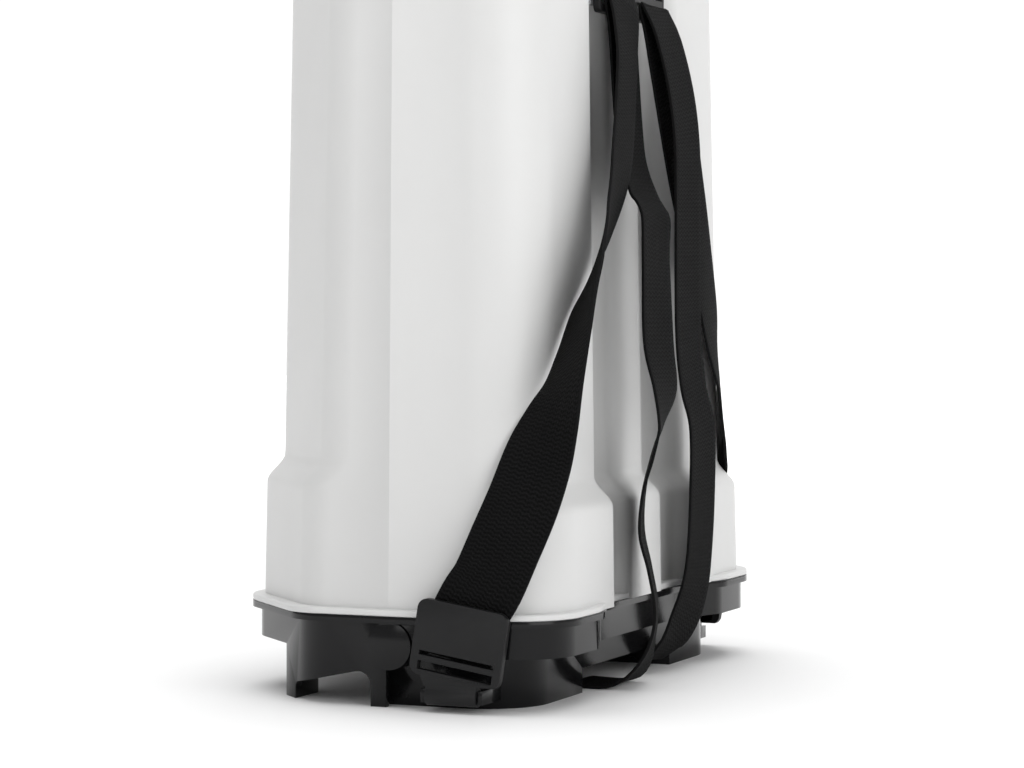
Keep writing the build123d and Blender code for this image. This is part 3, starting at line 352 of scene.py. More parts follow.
    def subtract(self, *cutters: "Workpiece") -> "Workpiece":
        """Cut other pieces out of this one and remove them.

        Args:
            *cutters: the pieces to cut out.

        Returns:
            This piece.
        """
        for cutter in cutters:
            self.apply("BOOLEAN", operation="DIFFERENCE", solver="EXACT", object=cutter.obj)
            bpy.data.objects.remove(cutter.obj)
        return self

    def join(self, *others: "Workpiece") -> "Workpiece":
        """Make other pieces part of this one.

        Args:
            *others: the pieces to take in.

        Returns:
            This piece.
        """
        self.deselect()
        for other in others:
            other.obj.select_set(True)
        self.obj.select_set(True)
        bpy.context.view_layer.objects.active = self.obj
        bpy.ops.object.join()
        return self

    def outward(self) -> "Workpiece":
        """Merge doubles and turn all faces outwards.

        Returns:
            This piece.
        """
        with self.editing():
            bpy.ops.mesh.select_all(action="SELECT")
            bpy.ops.mesh.remove_doubles(threshold=0.001)
            bpy.ops.mesh.normals_make_consistent(inside=False)
        return self

    def finish(
        self,
        body: str,
        slot: str,
        material: bpy.types.Material,
        replaces: Sequence[str] = (),
        smooth: float = 35.0,
    ) -> bpy.types.Object:
        """Put the piece into the frame, dress it and tie it to its body.

        Args:
            body: the body that it rides on.
            slot: the record's material slot; not used.
            material: its material.
            replaces: CAD nodes that it stands for.
            smooth: the angle under which edges are shaded smooth, in degrees.

        Returns:
            The finished object.
        """
        self.obj.data.transform(DATUM.matrix)
        self.obj.data.materials.clear()
        self.obj.data.materials.append(material)
        self.deselect()
        bpy.context.view_layer.objects.active = self.obj
        self.obj.select_set(True)
        bpy.ops.object.shade_smooth_by_angle(angle=radians(smooth))
        self.obj.select_set(False)
        if replaces:
            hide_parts(*replaces)
        if body:
            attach(self.obj, body)
        LOG.info("%s: %d faces", self.obj.name, len(self.obj.data.polygons))
        return self.obj


# --- Shading ---------------------------------------------------------------------


class Term:
    """A shader socket that takes part in Python arithmetic."""

    def __init__(self, graph: "Graph", socket: bpy.types.NodeSocket) -> None:
        """Wrap a socket.

        Args:
            graph: the graph that new nodes go into.
            socket: the output socket.
        """
        self.graph = graph
        self.socket = socket

    def _math(self, operation: str, *values: "Term | float") -> "Term":
        """A Math node on some values."""
        return self.graph.node("ShaderNodeMath", {"operation": operation}, dict(enumerate(values)))

    def __add__(self, other: "Term | float") -> "Term":
        """Sum."""
        return self._math("ADD", self, other)

    __radd__ = __add__

    def __sub__(self, other: "Term | float") -> "Term":
        """Difference."""
        return self._math("SUBTRACT", self, other)

    def __rsub__(self, other: "Term | float") -> "Term":
        """Reflected difference."""
        return self._math("SUBTRACT", other, self)

    def __mul__(self, other: "Term | float") -> "Term":
        """Product."""
        return self._math("MULTIPLY", self, other)

    __rmul__ = __mul__

    def __pow__(self, other: float) -> "Term":
        """Power."""
        return self._math("POWER", self, other)

    def sine(self) -> "Term":
        """Sine."""
        return self._math("SINE", self)

    def zigzag(self, height: float) -> "Term":
        """Triangle wave between 0 and height."""
        return self._math("PINGPONG", self, height)

    def clamp(self, low: float = 0.0, high: float = 1.0) -> "Term":
        """Kept between two limits."""
        return self._math("MINIMUM", self._math("MAXIMUM", self, low), high)


class Graph:
    """A material's node graph with one principled shader."""

    def __init__(self, name: str) -> None:
        """Start a material.

        Args:
            name: the material's name.
        """
        self.material = bpy.data.materials.new(name)
        self.material.use_nodes = True
        self.tree = self.material.node_tree
        self.shader = self.tree.nodes["Principled BSDF"]

    def node(
        self,
        kind: str,
        settings: dict[str, object] | None = None,
        inputs: dict[str | int, object] | None = None,
        output: str | int = 0,
    ) -> Term:
        """Add a node.

        Args:
            kind: the node's type.
            settings: its properties, set first.
            inputs: values or terms for its sockets.
            output: the socket to hand back.

        Returns:
            The output as a term.
        """
        node = self.tree.nodes.new(kind)
        for key, value in (settings or {}).items():
            if key == "stops":
                self._stops(node, value)
            else:
                setattr(node, key, value)
        for key, value in (inputs or {}).items():
            self._feed(node.inputs[key], value)
        return Term(self, node.outputs[output])

    @staticmethod
    def _stops(node: bpy.types.Node, stops: Sequence[tuple[float, float]]) -> None:
        """Set a ramp's grey stops, each a place and a level."""
        ramp = node.color_ramp
        while len(ramp.elements) < len(stops):
            ramp.elements.new(1.0)
        for element, (place, level) in zip(ramp.elements, stops):
            element.position = place
            element.color = (level, level, level, 1.0)

    def _feed(self, socket: bpy.types.NodeSocket, value: object) -> None:
        """Link a term to a socket or set its value."""
        if isinstance(value, Term):
            self.tree.links.new(value.socket, socket)
        else:
            socket.default_value = value

    def set(self, **values: object) -> None:
        """Set the shader's sockets; words are joined by underscores."""
        for key, value in values.items():
            self._feed(self.shader.inputs[key.replace("_", " ")], value)

    def place(self) -> Term:
        """Object coordinates, in metres."""
        return self.node("ShaderNodeTexCoord", output="Object")

    def stretched(self, x: float, y: float, z: float) -> Term:
        """Object coordinates scaled along each axis.

        Args:
            x: the scale along X.
            y: the scale along Y.
            z: the scale along Z.

        Returns:
            The coordinates.
        """
        return self.node(
            "ShaderNodeMapping", inputs={"Vector": self.place(), "Scale": (x, y, z)}
        )

    def noise(
        self, size: float, detail: float = 3.0, rough: float = 0.55, at: Term | None = None
    ) -> Term:
        """Noise between 0 and 1.

        Args:
            size: the pattern's size in metres.
            detail: how many finer layers it has.
            rough: how strong they are.
            at: the coordinates, or the object's own.

        Returns:
            The noise.
        """
        return self.node(
            "ShaderNodeTexNoise",
            inputs={
                "Vector": at or self.place(),
                "Scale": 1.0 / size,
                "Detail": detail,
                "Roughness": rough,
            },
        )

    def blend(self, share: Term, first: Sequence[float], second: Sequence[float]) -> Term:
        """A colour between two, by a share from 0 to 1.

        Args:
            share: how much of the second there is.
            first: one colour.
            second: the other.

        Returns:
            The colour.
        """
        return self.node(
            "ShaderNodeMix",
            {"data_type": "RGBA"},
            {0: share, 6: (*first, 1.0), 7: (*second, 1.0)},
            output=2,
        )

    def relief(self, height: Term, depth: float) -> Term:
        """A normal from a height between 0 and 1 and its depth in metres.

        Args:
            height: the height.
            depth: the depth.

        Returns:
            The normal.
        """
        return self.node(
            "ShaderNodeBump", inputs={"Strength": 1.0, "Distance": depth, "Height": height}
        )


class Surround(Graph):
    """The world's node graph."""

    def __init__(self, name: str) -> None:
        """Start a world and make it the scene's.

        Args:
            name: the world's name.
        """
        world = bpy.data.worlds.new(name)
        world.use_nodes = True
        self.tree = world.node_tree
        self.shader = self.tree.nodes["Background"]
        bpy.context.scene.world = world

    def towards(self, way: Point) -> Term:
        """How far the sky's direction agrees with another.

        Args:
            way: the other direction, one unit long.

        Returns:
            The agreement, from -1 to 1.
        """
        return self.node(
            "ShaderNodeVectorMath",
            {"operation": "DOT_PRODUCT"},
            {0: self.node("ShaderNodeTexCoord", output="Generated"), 1: way},
            output="Value",
        )


@dataclass(frozen=True)
class Moulding:
    """Moulded plastic: faint colour drift, fine grain and handling marks."""

    name: str
    colour: tuple[float, float, float]
    shade: tuple[float, float, float]
    rough: float
    rough_drift: float
    grain: float
    grain_depth: float
    drift: float = 0.05
    shine: float = 0.5

    def build(self) -> bpy.types.Material:
        """Make the material."""
        graph = Graph(self.name)
        cloud = graph.noise(self.drift, 4.0)
        marks = graph.noise(self.drift / 3, 4.0, 0.6)
        grain = graph.noise(self.grain, 2.0)
        share = (cloud * 0.7 + marks * 0.3 - 0.25) * 1.6
        graph.set(
            Base_Color=graph.blend(share.clamp(), self.colour, self.shade),
            Roughness=(marks * self.rough_drift + (self.rough - self.rough_drift / 2)).clamp(),
            Normal=graph.relief(grain, self.grain_depth),
            Specular_IOR_Level=self.shine,
        )
        return graph.material


@dataclass(frozen=True)
class Webbing:
    """Woven strap: cross ribs, a fine twill, bound edges, painted shade in the weave's valleys and
    a little dust.
    """

    name: str
    colour: tuple[float, float, float]
    shade: tuple[float, float, float]
    width: float
    rib: float
    twill: float
    panel: float
    depth: float
    lean: float = 0.45

    def build(self) -> bpy.types.Material:
        """Make the material, on a UV map in metres across and along."""
        graph = Graph(self.name)
        uv = graph.node("ShaderNodeTexCoord", output="UV")
        across = graph.node("ShaderNodeSeparateXYZ", inputs={0: uv}, output=0)
        along = graph.node("ShaderNodeSeparateXYZ", inputs={0: uv}, output=1)
        lean = across.zigzag(self.panel) * self.lean
        rib = ((along + lean) * (2 * pi / self.rib)).sine() * 0.5 + 0.5
        thread = ((along - lean) * (2 * pi / self.twill)).sine() * 0.5 + 0.5
        warp = (across * (2 * pi / (self.rib * 0.75))).sine() * 0.5 + 0.5
        middle = self.width / 2 - across
        off = middle * middle * (4.0 / self.width**2)
        edge = (off**12.0).clamp()
        weave = rib * 0.6 + thread * 0.2 + warp * 0.2
        height = weave * (1.0 - edge) + edge * 0.7
        fuzz = graph.noise(0.0005, 2.0)
        wear = graph.noise(0.03, 4.0)
        # The colour follows the weave's height, so its valleys get painted shade; fuzz and wear
        # add random tone on top.
        share = (height * 0.8 + fuzz * 0.3 + wear * 0.25 - 0.4).clamp()
        graph.set(
            Base_Color=graph.blend(share, self.shade, self.colour),
            Roughness=(0.7 + fuzz * 0.2).clamp(),
            Normal=graph.relief(height + fuzz * 0.3, self.depth),
            Specular_IOR_Level=0.08,
        )
        return graph.material


@dataclass(frozen=True)
class Metal:
    """Worked metal: drawn or turned lines, cloudy roughness and fine pits."""

    name: str
    colour: tuple[float, float, float]
    shade: tuple[float, float, float]
    rough: float
    lines: tuple[float, float, float]

    def build(self) -> bpy.types.Material:
        """Make the material."""
        graph = Graph(self.name)
        lines = graph.noise(0.0009, 2.0, 0.5, graph.stretched(*self.lines))
        cloud = graph.noise(0.012, 4.0)
        graph.set(
            Base_Color=graph.blend(cloud, self.shade, self.colour),
            Metallic=1.0,
            Roughness=(self.rough + (cloud - 0.5) * 0.25 + (lines - 0.5) * 0.15).clamp(),
            Normal=graph.relief(lines, 0.00004),
        )
        return graph.material


class Finishes:
    """Every finish of the sprayer, made once."""

    def __init__(self) -> None:
        """Build the materials."""
        tank = Moulding(
            "natural_polyethylene",
            (0.665, 0.665, 0.66),
            (0.63, 0.63, 0.625),
            rough=0.42,
            rough_drift=0.08,
            grain=0.0012,
            grain_depth=0.00002,
            drift=0.12,
            shine=0.4,
        )
        base = Moulding(
            "black_moulding",
            (0.0045, 0.0045, 0.005),
            (0.009, 0.009, 0.0095),
            rough=0.15,
            rough_drift=0.1,
            grain=0.0015,
            grain_depth=0.00002,
            drift=0.06,
            shine=0.24,
        )
        black = Moulding(
            "grained_black_moulding",
            (0.01, 0.01, 0.0105),
            (0.018, 0.018, 0.0185),
            rough=0.4,
            rough_drift=0.14,
            grain=0.0005,
            grain_depth=0.00005,
            drift=0.05,
            shine=0.35,
        )
        buckle = Moulding(
            "buckle_moulding",
            (0.0075, 0.0075, 0.008),
            (0.012, 0.012, 0.0125),
            rough=0.42,
            rough_drift=0.12,
            grain=0.0004,
            grain_depth=0.00004,
            drift=0.02,
            shine=0.25,
        )
        rubber = Moulding(
            "black_rubber",
            (0.012, 0.012, 0.012),
            (0.022, 0.0215, 0.021),
            rough=0.66,
            rough_drift=0.15,
            grain=0.0006,
            grain_depth=0.00006,
        )
        grip = Moulding(
            "soft_grip",
            (0.014, 0.014, 0.0145),
            (0.025, 0.025, 0.025),
            rough=0.58,
            rough_drift=0.15,
            grain=0.0004,
            grain_depth=0.00006,
        )
        pump = Moulding(
            "grey_moulding",
            (0.36, 0.37, 0.38),
            (0.3, 0.31, 0.32),
            rough=0.4,
            rough_drift=0.12,
            grain=0.0008,
            grain_depth=0.00003,
        )
        paint = Moulding(
            "black_powder_coat",
            (0.012, 0.012, 0.0125),
            (0.019, 0.019, 0.0195),
            rough=0.34,
            rough_drift=0.14,
            grain=0.0009,
            grain_depth=0.00006,
            drift=0.05,
            shine=0.35,
        )
        steel = Metal(
            "zinc_plated_steel", (0.60, 0.61, 0.62), (0.45, 0.46, 0.47), 0.34, (1.0, 8.0, 8.0)
        )
        brass = Metal(
            "turned_brass", (0.72, 0.54, 0.27), (0.56, 0.40, 0.18), 0.3, (1.0, 1.0, 9.0)
        )
        webbing = Webbing(
            "black_webbing",
            (0.012, 0.012, 0.0125),
            (0.0015, 0.0015, 0.0015),
            width=0.045,
            rib=0.0026,
            twill=0.0014,
            panel=0.0028,
            depth=0.0005,
        )
        self.by_slot = {
            "white_tank": tank.build(),
            "black_base": base.build(),
            "black_plastic": black.build(),
            "buckle": buckle.build(),
            "webbing": webbing.build(),
            "pump_plastic": pump.build(),
            "rubber": rubber.build(),
            "brass": brass.build(),
            "steel": steel.build(),
            "painted_arm": paint.build(),
            "grip": grip.build(),
        }

    def for_slot(self, slot: str) -> bpy.types.Material:
        """The material of a record slot."""
        return self.by_slot[slot]


# --- Plan outline ----------------------------------------------------------------


@dataclass(frozen=True)
class Dent:
    """A step of the wearer face: at this distance from the middle it lies this far in."""

    x: float
    depth: float
    offset: float
    segments: int = 4


@dataclass
class Plan:
    """The closed outline that the tank and its rim share."""

    half: float
    front: float
    lobe: float
    dents: tuple[Dent, ...]
    corner_x: float = 66.0
    corner_y: float = 69.0
    front_offset: float = 14.5
    lobe_radius: float = 40.0
    wearer_depth: float = 60.0

    def face(self, name: str, z: float) -> Workpiece:
        """One flat face of this outline.

        Args:
            name: the new piece's name.
            z: its height.

        Returns:
            The piece, a single face.
        """
        Workpiece.deselect()
        bpy.ops.mesh.primitive_plane_add(
            size=1.0,
            location=(0.0, (self.front - self.lobe) / 2, z),
        )
        piece = Workpiece(name)
        piece.obj.scale = (2 * self.half, self.front + self.lobe, 1.0)
        piece.settle()
        with piece.editing():
            for sign in (-1, 1):
                point = (sign * (self.half - self.corner_x), self.front, z)
                piece.cut(point, (sign * self.corner_y, self.corner_x, 0.0), clear=True)
            for dent in self.dents:
                for sign in (-1, 1):
                    piece.cut((sign * dent.x, 0.0, z), (1.0, 0.0, 0.0))
            done = 0.0
            for dent in self.dents:
                edge = self.wearer_depth - self.lobe
                piece.choose(lambda p, d=dent: p.y < edge and abs(p.x) < d.x + 0.1)
                piece.slide(y=dent.depth - done)
                done = dent.depth
            bpy.ops.mesh.select_all(action="SELECT")
            bpy.ops.mesh.dissolve_limited(angle_limit=radians(0.5))
            for dent in self.dents:
                piece.choose(lambda p, d=dent: p.y < 0 and abs(abs(p.x) - d.x) < 0.1)
                piece.round_corners(dent.offset, dent.segments)
            piece.choose(lambda p: p.y < 0 and abs(p.x) > self.half - 0.1)
            piece.round_corners(self.lobe_radius, 14)
            corner = self.half - self.corner_x
            piece.choose(lambda p: p.y > 0 and abs(p.x) > corner - 0.1)
            piece.round_corners(self.front_offset, 8)
        return piece


RIM_DENTS = (Dent(108.0, 0.0, 10.0), Dent(70.0, 15.5, 10.0))


# --- Tank ------------------------------------------------------------------------


@dataclass
class Tank:
    """The white tank: bead, flared foot, drafted walls, shoulders and neck."""

    finishes: Finishes
    foot: float = 53.0
    bead: float = 4.0
    ledge: float = 5.5
    draft: float = 0.85
    flare: float = 12.0
    wearer_flare: float = 113.0
    front_flare: float = 126.0
    flare_height: float = 17.0
    shoulder: float = 440.0
    shoulder_rise: float = 38.0
    shoulder_inset: float = 24.0
    neck_y: float = 30.0
    neck_radius: float = 54.0
    neck_top: float = 500.0
    seam_y: float = 12.0
    seam_steps: tuple[float, ...] = (-1.1, -0.4, 0.4, 1.1)
    seam_height: float = 0.55
    pocket: tuple[float, float, float, float] = (45.0, 4.0, 84.0, 75.0)
    dents: tuple[Dent, ...] = (
        Dent(76.0, 0.0, 5.0),
        Dent(64.0, 17.0, 5.0),
        Dent(38.0, 17.0, 4.0),
        Dent(28.0, 9.0, 4.0),
    )

    @staticmethod
    def ease(share: float) -> float:
        """A smooth step from 0 to 1."""
        share = min(max(share, 0.0), 1.0)
        return share * share * (3 - 2 * share)

    def inset(self, z: float) -> float:
        """How far the wall lies inside its foot at a height, by draft and shoulder.

        Args:
            z: the height.

        Returns:
            The distance.
        """
        drafted = (min(z, self.shoulder) - self.foot) * tan(radians(self.draft))
        if z <= self.shoulder:
            return drafted
        share = min((z - self.shoulder) / self.shoulder_rise, 1.0)
        return drafted + self.shoulder_inset * (1 - (1 - share * share) ** 0.5)

    def flared(self, z: float, foot: float) -> float:
        """How far a flared face has come in at a height."""
        return self.flare * self.ease((z - foot) / self.flare_height)

    def heights(self) -> list[float]:
        """Heights of the wall's rings, from the bead to the top.

        Returns:
            The heights, in rising order.
        """
        low = [self.foot + self.bead + 2.0, self.foot + self.bead + 6.0]
        foot = self.wearer_flare - 4.0
        top = self.front_flare + self.flare_height + 4.0
        steps = [foot + (top - foot) * i / 13 for i in range(14)]
        walls = [240.0, 340.0, self.shoulder - 12.0, self.shoulder]
        arc = [self.shoulder + self.shoulder_rise * sin(pi / 2 * i / 9) for i in range(1, 10)]
        return low + steps + walls + arc

    def wall(self) -> Workpiece:
        """The shell's wall, raised ring by ring from its foot outline.

        Returns:
            The closed shell.
        """
        plan = Plan(
            RIM_HALF - self.ledge, RIM_FRONT - self.ledge, RIM_LOBE - self.ledge, self.dents
        )
        z = self.foot
        piece = plan.face("tank_shell", z)
        half = plan.half
        front = 0.0
        lobe = 0.0
        with piece.editing():
            bpy.ops.mesh.select_all(action="SELECT")
            for level in self.heights():
                piece.extrude(z=level - z)
                z = level
                now = plan.half - self.inset(z)
                piece.stretch(now / half, 1.0, 1.0)
                half = now
                new_front = self.inset(z) + self.flared(z, self.front_flare)
                new_lobe = self.inset(z) + self.flared(z, self.wearer_flare)
                piece.choose(lambda p, h=z: abs(p.z - h) < 0.05 and p.y > 0)
                piece.slide(y=front - new_front)
                piece.choose(lambda p, h=z: abs(p.z - h) < 0.05 and p.y < 0)
                piece.slide(y=new_lobe - lobe)
                front = new_front
                lobe = new_lobe
                piece.choose(lambda p, h=z: abs(p.z - h) < 0.05)
            for step in self.seam_steps:
                piece.cut((0.0, self.seam_y + step, 0.0), (0.0, 1.0, 0.0))
            top = self.shoulder
            for sign in (-1, 1):
                piece.choose(
                    lambda p, s=sign: abs(p.y - self.seam_y) < 0.5
                    and self.foot + 8 < p.z <= top
                    and p.x * s > 100
                )
                piece.slide(x=sign * self.seam_height)
        return piece.outward()

    def build(self) -> None:
        """Make the tank's shell, bead and neck as one moulding."""
        shell = self.wall()
        x, y0, y1, roof = self.pocket
        cutter = Workpiece.block("pocket_cutter", (-x, y0, self.foot - 10), (x, y1, roof))
        shell.subtract(cutter)
        bead = Plan(RIM_HALF, RIM_FRONT, RIM_LOBE, RIM_DENTS).face("bead", self.foot)
        with bead.editing():
            bpy.ops.mesh.select_all(action="SELECT")
            bead.extrude(z=self.bead)
        bead.outward()
        cutter = Workpiece.block("bead_cutter", (-x, y0, self.foot - 10), (x, y1, roof))
        bead.subtract(cutter).soften(1.2, 3)
        neck = Workpiece.rod(
            "neck",
            (0.0, self.neck_y, self.shoulder + self.shoulder_rise - 2),
            (0.0, self.neck_y, self.neck_top),
            self.neck_radius,
            96,
        ).soften(1.0)
        shell.join(bead, neck)
        shell.finish("sprayer", "white_tank", self.finishes.for_slot("white_tank"), ["tank"], 40.0)


# --- Harness ---------------------------------------------------------------------

Station = tuple[Point, Point]

RIGHT_RUN: tuple[Station, ...] = (
    ((-186.0, -33.5, 30.0), (0.0, 1.0, 0.16)),
    ((-186.0, -38.0, 48.0), (0.0, 1.0, 0.17)),
    ((-187.0, -45.5, 62.0), (0.0, 1.0, 0.25)),
    ((-188.2, -54.8, 75.3), (0.01, 1.0, 0.42)),
    ((-187.0, -65.0, 98.0), (0.02, 1.0, 0.4)),
    ((-184.5, -74.8, 121.5), (0.05, 1.0, 0.3)),
    ((-179.5, -81.6, 145.0), (0.14, 0.98, 0.2)),
    ((-175.5, -88.4, 168.0), (0.41, 0.91, 0.1)),
    ((-168.0, -93.3, 191.0), (0.66, 0.75, 0.0)),
    ((-153.5, -93.8, 214.0), (0.78, 0.63, 0.0)),
    ((-133.0, -91.6, 237.0), (0.85, 0.53, 0.0)),
    ((-108.0, -89.6, 260.5), (0.92, 0.39, 0.0)),
    ((-88.0, -89.6, 285.0), (0.97, 0.26, 0.0)),
    ((-64.5, -88.8, 323.0), (0.99, 0.12, 0.0)),
    ((-45.0, -84.6, 374.0), (0.99, 0.13, 0.0)),
    ((-37.0, -81.0, 400.0), (1.0, 0.09, 0.0)),
    ((-29.5, -76.2, 421.0), (1.0, 0.0, 0.0)),
)
LEFT_RUN: tuple[Station, ...] = (
    ((186.0, -33.5, 30.0), (0.0, 1.0, 0.16)),
    ((186.0, -38.0, 48.0), (0.0, 1.0, 0.17)),
    ((187.0, -45.5, 62.0), (0.0, 1.0, 0.25)),
    ((188.0, -49.5, 77.0), (0.03, 1.0, 0.32)),
    ((186.8, -49.5, 96.0), (0.1, 0.98, 0.3)),
    ((183.6, -52.5, 112.0), (0.33, 0.94, 0.25)),
    ((172.5, -67.0, 128.0), (0.8, 0.6, 0.15)),
    ((160.0, -74.0, 146.0), (0.88, 0.47, 0.1)),
    ((148.0, -77.8, 165.0), (0.93, 0.37, 0.0)),
    ((134.5, -80.4, 190.0), (0.95, 0.31, 0.0)),
    ((118.5, -82.4, 216.0), (0.98, 0.17, 0.0)),
    ((100.0, -83.6, 250.0), (1.0, 0.08, 0.0)),
    ((68.0, -84.6, 303.0), (0.99, -0.08, 0.0)),
    ((46.0, -83.6, 354.0), (0.99, -0.15, 0.0)),
    ((33.0, -78.6, 400.0), (0.99, -0.1, 0.0)),
    ((29.5, -73.3, 421.0), (1.0, 0.0, 0.0)),
)
RIGHT_TAIL: tuple[Station, ...] = (
    ((-29.5, -73.3, 421.0), (1.0, 0.0, 0.0)),
    ((-28.0, -75.6, 400.0), (1.0, 0.0, 0.0)),
    ((-27.0, -78.8, 348.0), (1.0, 0.0, 0.0)),
    ((-26.0, -81.5, 322.0), (1.0, 0.0, 0.0)),
    ((-26.0, -89.0, 302.0), (1.0, 0.0, 0.0)),
    ((-30.0, -97.5, 288.0), (1.0, 0.0, 0.0)),
    ((-35.0, -100.0, 262.0), (1.0, 0.0, 0.0)),
    ((-36.0, -102.0, 212.0), (1.0, -0.04, 0.0)),
    ((-36.0, -106.5, 182.0), (1.0, 0.06, 0.0)),
    ((-36.0, -104.0, 160.0), (0.94, 0.3, 0.0)),
    ((-36.0, -98.8, 143.0), (0.93, 0.36, 0.0)),
    ((-36.0, -92.6, 120.0), (0.94, 0.32, 0.0)),
    ((-36.0, -91.0, 95.0), (0.95, 0.3, 0.0)),
    ((-36.0, -96.4, 72.0), (0.94, 0.32, 0.0)),
    ((-36.0, -100.5, 48.0), (0.94, 0.32, 0.0)),
    ((-36.0, -97.5, 28.0), (0.95, 0.28, 0.0)),
    ((-36.0, -89.0, 10.0), (0.99, 0.1, 0.0)),
    ((-36.0, -76.0, 1.6), (1.0, 0.0, 0.0)),
    ((-36.0, -50.0, 1.4), (1.0, 0.0, 0.0)),
)
LEFT_TAIL: tuple[Station, ...] = (
    ((29.5, -76.2, 421.0), (1.0, 0.0, 0.0)),
    ((31.0, -83.5, 404.0), (1.0, 0.0, 0.0)),
    ((36.0, -90.0, 372.0), (1.0, 0.0, 0.0)),
    ((41.0, -92.6, 338.0), (1.0, 0.0, 0.0)),
    ((43.0, -92.6, 300.0), (1.0, 0.0, 0.0)),
    ((46.0, -91.8, 221.0), (1.0, 0.0, 0.0)),
    ((50.0, -93.7, 183.0), (1.0, 0.0, 0.0)),
    ((54.5, -98.2, 156.0), (1.0, 0.0, 0.0)),
    ((57.0, -97.4, 115.0), (1.0, 0.0, 0.0)),
    ((57.5, -95.2, 75.0), (1.0, 0.0, 0.0)),
    ((56.0, -92.1, 51.0), (1.0, -0.05, 0.0)),
    ((51.5, -86.8, 32.0), (1.0, -0.1, 0.0)),
    ((46.0, -79.6, 17.5), (1.0, -0.05, 0.0)),
    ((43.5, -68.5, 7.0), (1.0, 0.0, 0.0)),
)


@dataclass
class Strap:
    """One shoulder strap: a single length of webbing from its buckle to its tail."""

    side: Side
    run: tuple[Station, ...]
    tail: tuple[Station, ...]
    finishes: Finishes
    width: float = 45.0
    thickness: float = 1.7
    loop: Point = (29.5, -74.8, 423.6)
    step: float = 4.0
    across: int = 8
    cup: float = 0.5

    def stations(self) -> list[tuple[Vector, Vector]]:
        """All stations from the buckle, over the adjuster's bar, to the tail's end.

        Returns:
            The middle and the way across at each station.
        """
        sign = self.side.value
        top = (Vector((sign * self.loop[0], *self.loop[1:])), Vector((1.0, 0.0, 0.0)))
        run = [(Vector(c), Vector(w)) for c, w in self.run]
        tail = [(Vector(c), Vector(w)) for c, w in self.tail]
        return [*run, top, *tail]

    @staticmethod
    def between(values: Sequence[Vector], i: int, t: float) -> Vector:
        """A smooth curve's value between stations i and i + 1.

        Args:
            values: the stations' values.
            i: the station before.
            t: the share of the way to the next one.

        Returns:
            The value there.
        """
        p0 = values[max(i - 1, 0)]
        p1 = values[i]
        p2 = values[i + 1]
        p3 = values[min(i + 2, len(values) - 1)]
        near = (p2 - p0) * 0.5
        far = (p3 - p1) * 0.5
        scale = (p2 - p1).length
        if (p2 - p0).length > 0:
            near *= min(1.0, scale * 1.4 / near.length) if near.length else 1.0
        if (p3 - p1).length > 0:
            far *= min(1.0, scale * 1.4 / far.length) if far.length else 1.0
        a = 2 * t**3 - 3 * t**2 + 1
        b = t**3 - 2 * t**2 + t
        c = -2 * t**3 + 3 * t**2
        d = t**3 - t**2
        return p1 * a + near * b + p2 * c + far * d

    def line(self) -> tuple[list[Vector], list[Vector]]:
        """The strap's middle line and its cross ways, at even steps.

        Returns:
            The points and the ways across.
        """
        stations = self.stations()
        centres = [s[0] for s in stations]
        ways = [s[1].normalized() for s in stations]
        points: list[Vector] = []
        wides: list[Vector] = []
        for i in range(len(stations) - 1):
            length = (centres[i + 1] - centres[i]).length
            count = max(int(length / self.step), 3)
            for k in range(count + (i == len(stations) - 2)):
                points.append(self.between(centres, i, k / count))
                wides.append(self.between(ways, i, k / count))
        return points, wides

    def build(self, buckle: str, adjuster: str) -> None:
        """Args:
            buckle: its buckle's body; not used.
            adjuster: the node that it hangs from; not used.
        """
        points, wides = self.line()
        rows = len(points)
        Workpiece.deselect()
        bpy.ops.mesh.primitive_grid_add(x_subdivisions=self.across, y_subdivisions=rows - 1)
        piece = Workpiece(f"strap_webbing_{self.side.word}")
        mesh = piece.obj.data
        run = [0.0]
        for a, b in zip(points, points[1:]):
            run.append(run[-1] + (b - a).length)
        wide_count, long_count = self.across / 2, (rows - 1) / 2
        grid = [
            (round((v.co.x + 1) * wide_count), round((v.co.y + 1) * long_count))
            for v in mesh.vertices
        ]
        for vertex, (i, j) in zip(mesh.vertices, grid):
            before = points[max(j - 1, 0)]
            after = points[min(j + 1, rows - 1)]
            way = (after - before).normalized()
            wide = (wides[j] - way * wides[j].dot(way)).normalized()
            u = i / self.across - 0.5
            cup = (4 * u * u - 1) * self.cup
            face = way.cross(wide)
            vertex.co = points[j] + wide * (u * self.width) + face * cup
        layer = mesh.uv_layers.active.data
        for polygon in mesh.polygons:
            for loop in polygon.loop_indices:
                i, j = grid[mesh.loops[loop].vertex_index]
                layer[loop].uv = (i / self.across * self.width * MM, run[j] * MM)
        piece.apply("SOLIDIFY", thickness=self.thickness, offset=0.0)
        piece.soften(0.5, 2, 60.0)
        webbing = self.finishes.for_slot("webbing")
        piece.finish("", "webbing", webbing, [f"strap_{self.side.word}"], 50.0)
        sign = self.side.value
        low = DATUM.at(sign * 186.0, -40.0, 58.0)
        high = DATUM.at(sign * 170.0, -80.0, 170.0)
        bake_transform(piece.obj)
        self.width * MM
        LOG.info("%s: %.3f m long", piece.obj.name, run[-1] * MM)


@dataclass
class Softened:
    """A CAD piece shown with its moulded or worked edges rounded."""

    node: str
    body: str
    slot: str
    width: float
    name: str
    finishes: Finishes

    def build(self) -> None:
        """Copy the node's shape, round its edges and put it in its place."""
        piece = Workpiece.from_node(self.node, self.name)
        piece.soften(self.width)
        piece.finish(self.body, self.slot, self.finishes.for_slot(self.slot), [self.node])


# --- Studio ----------------------------------------------------------------------


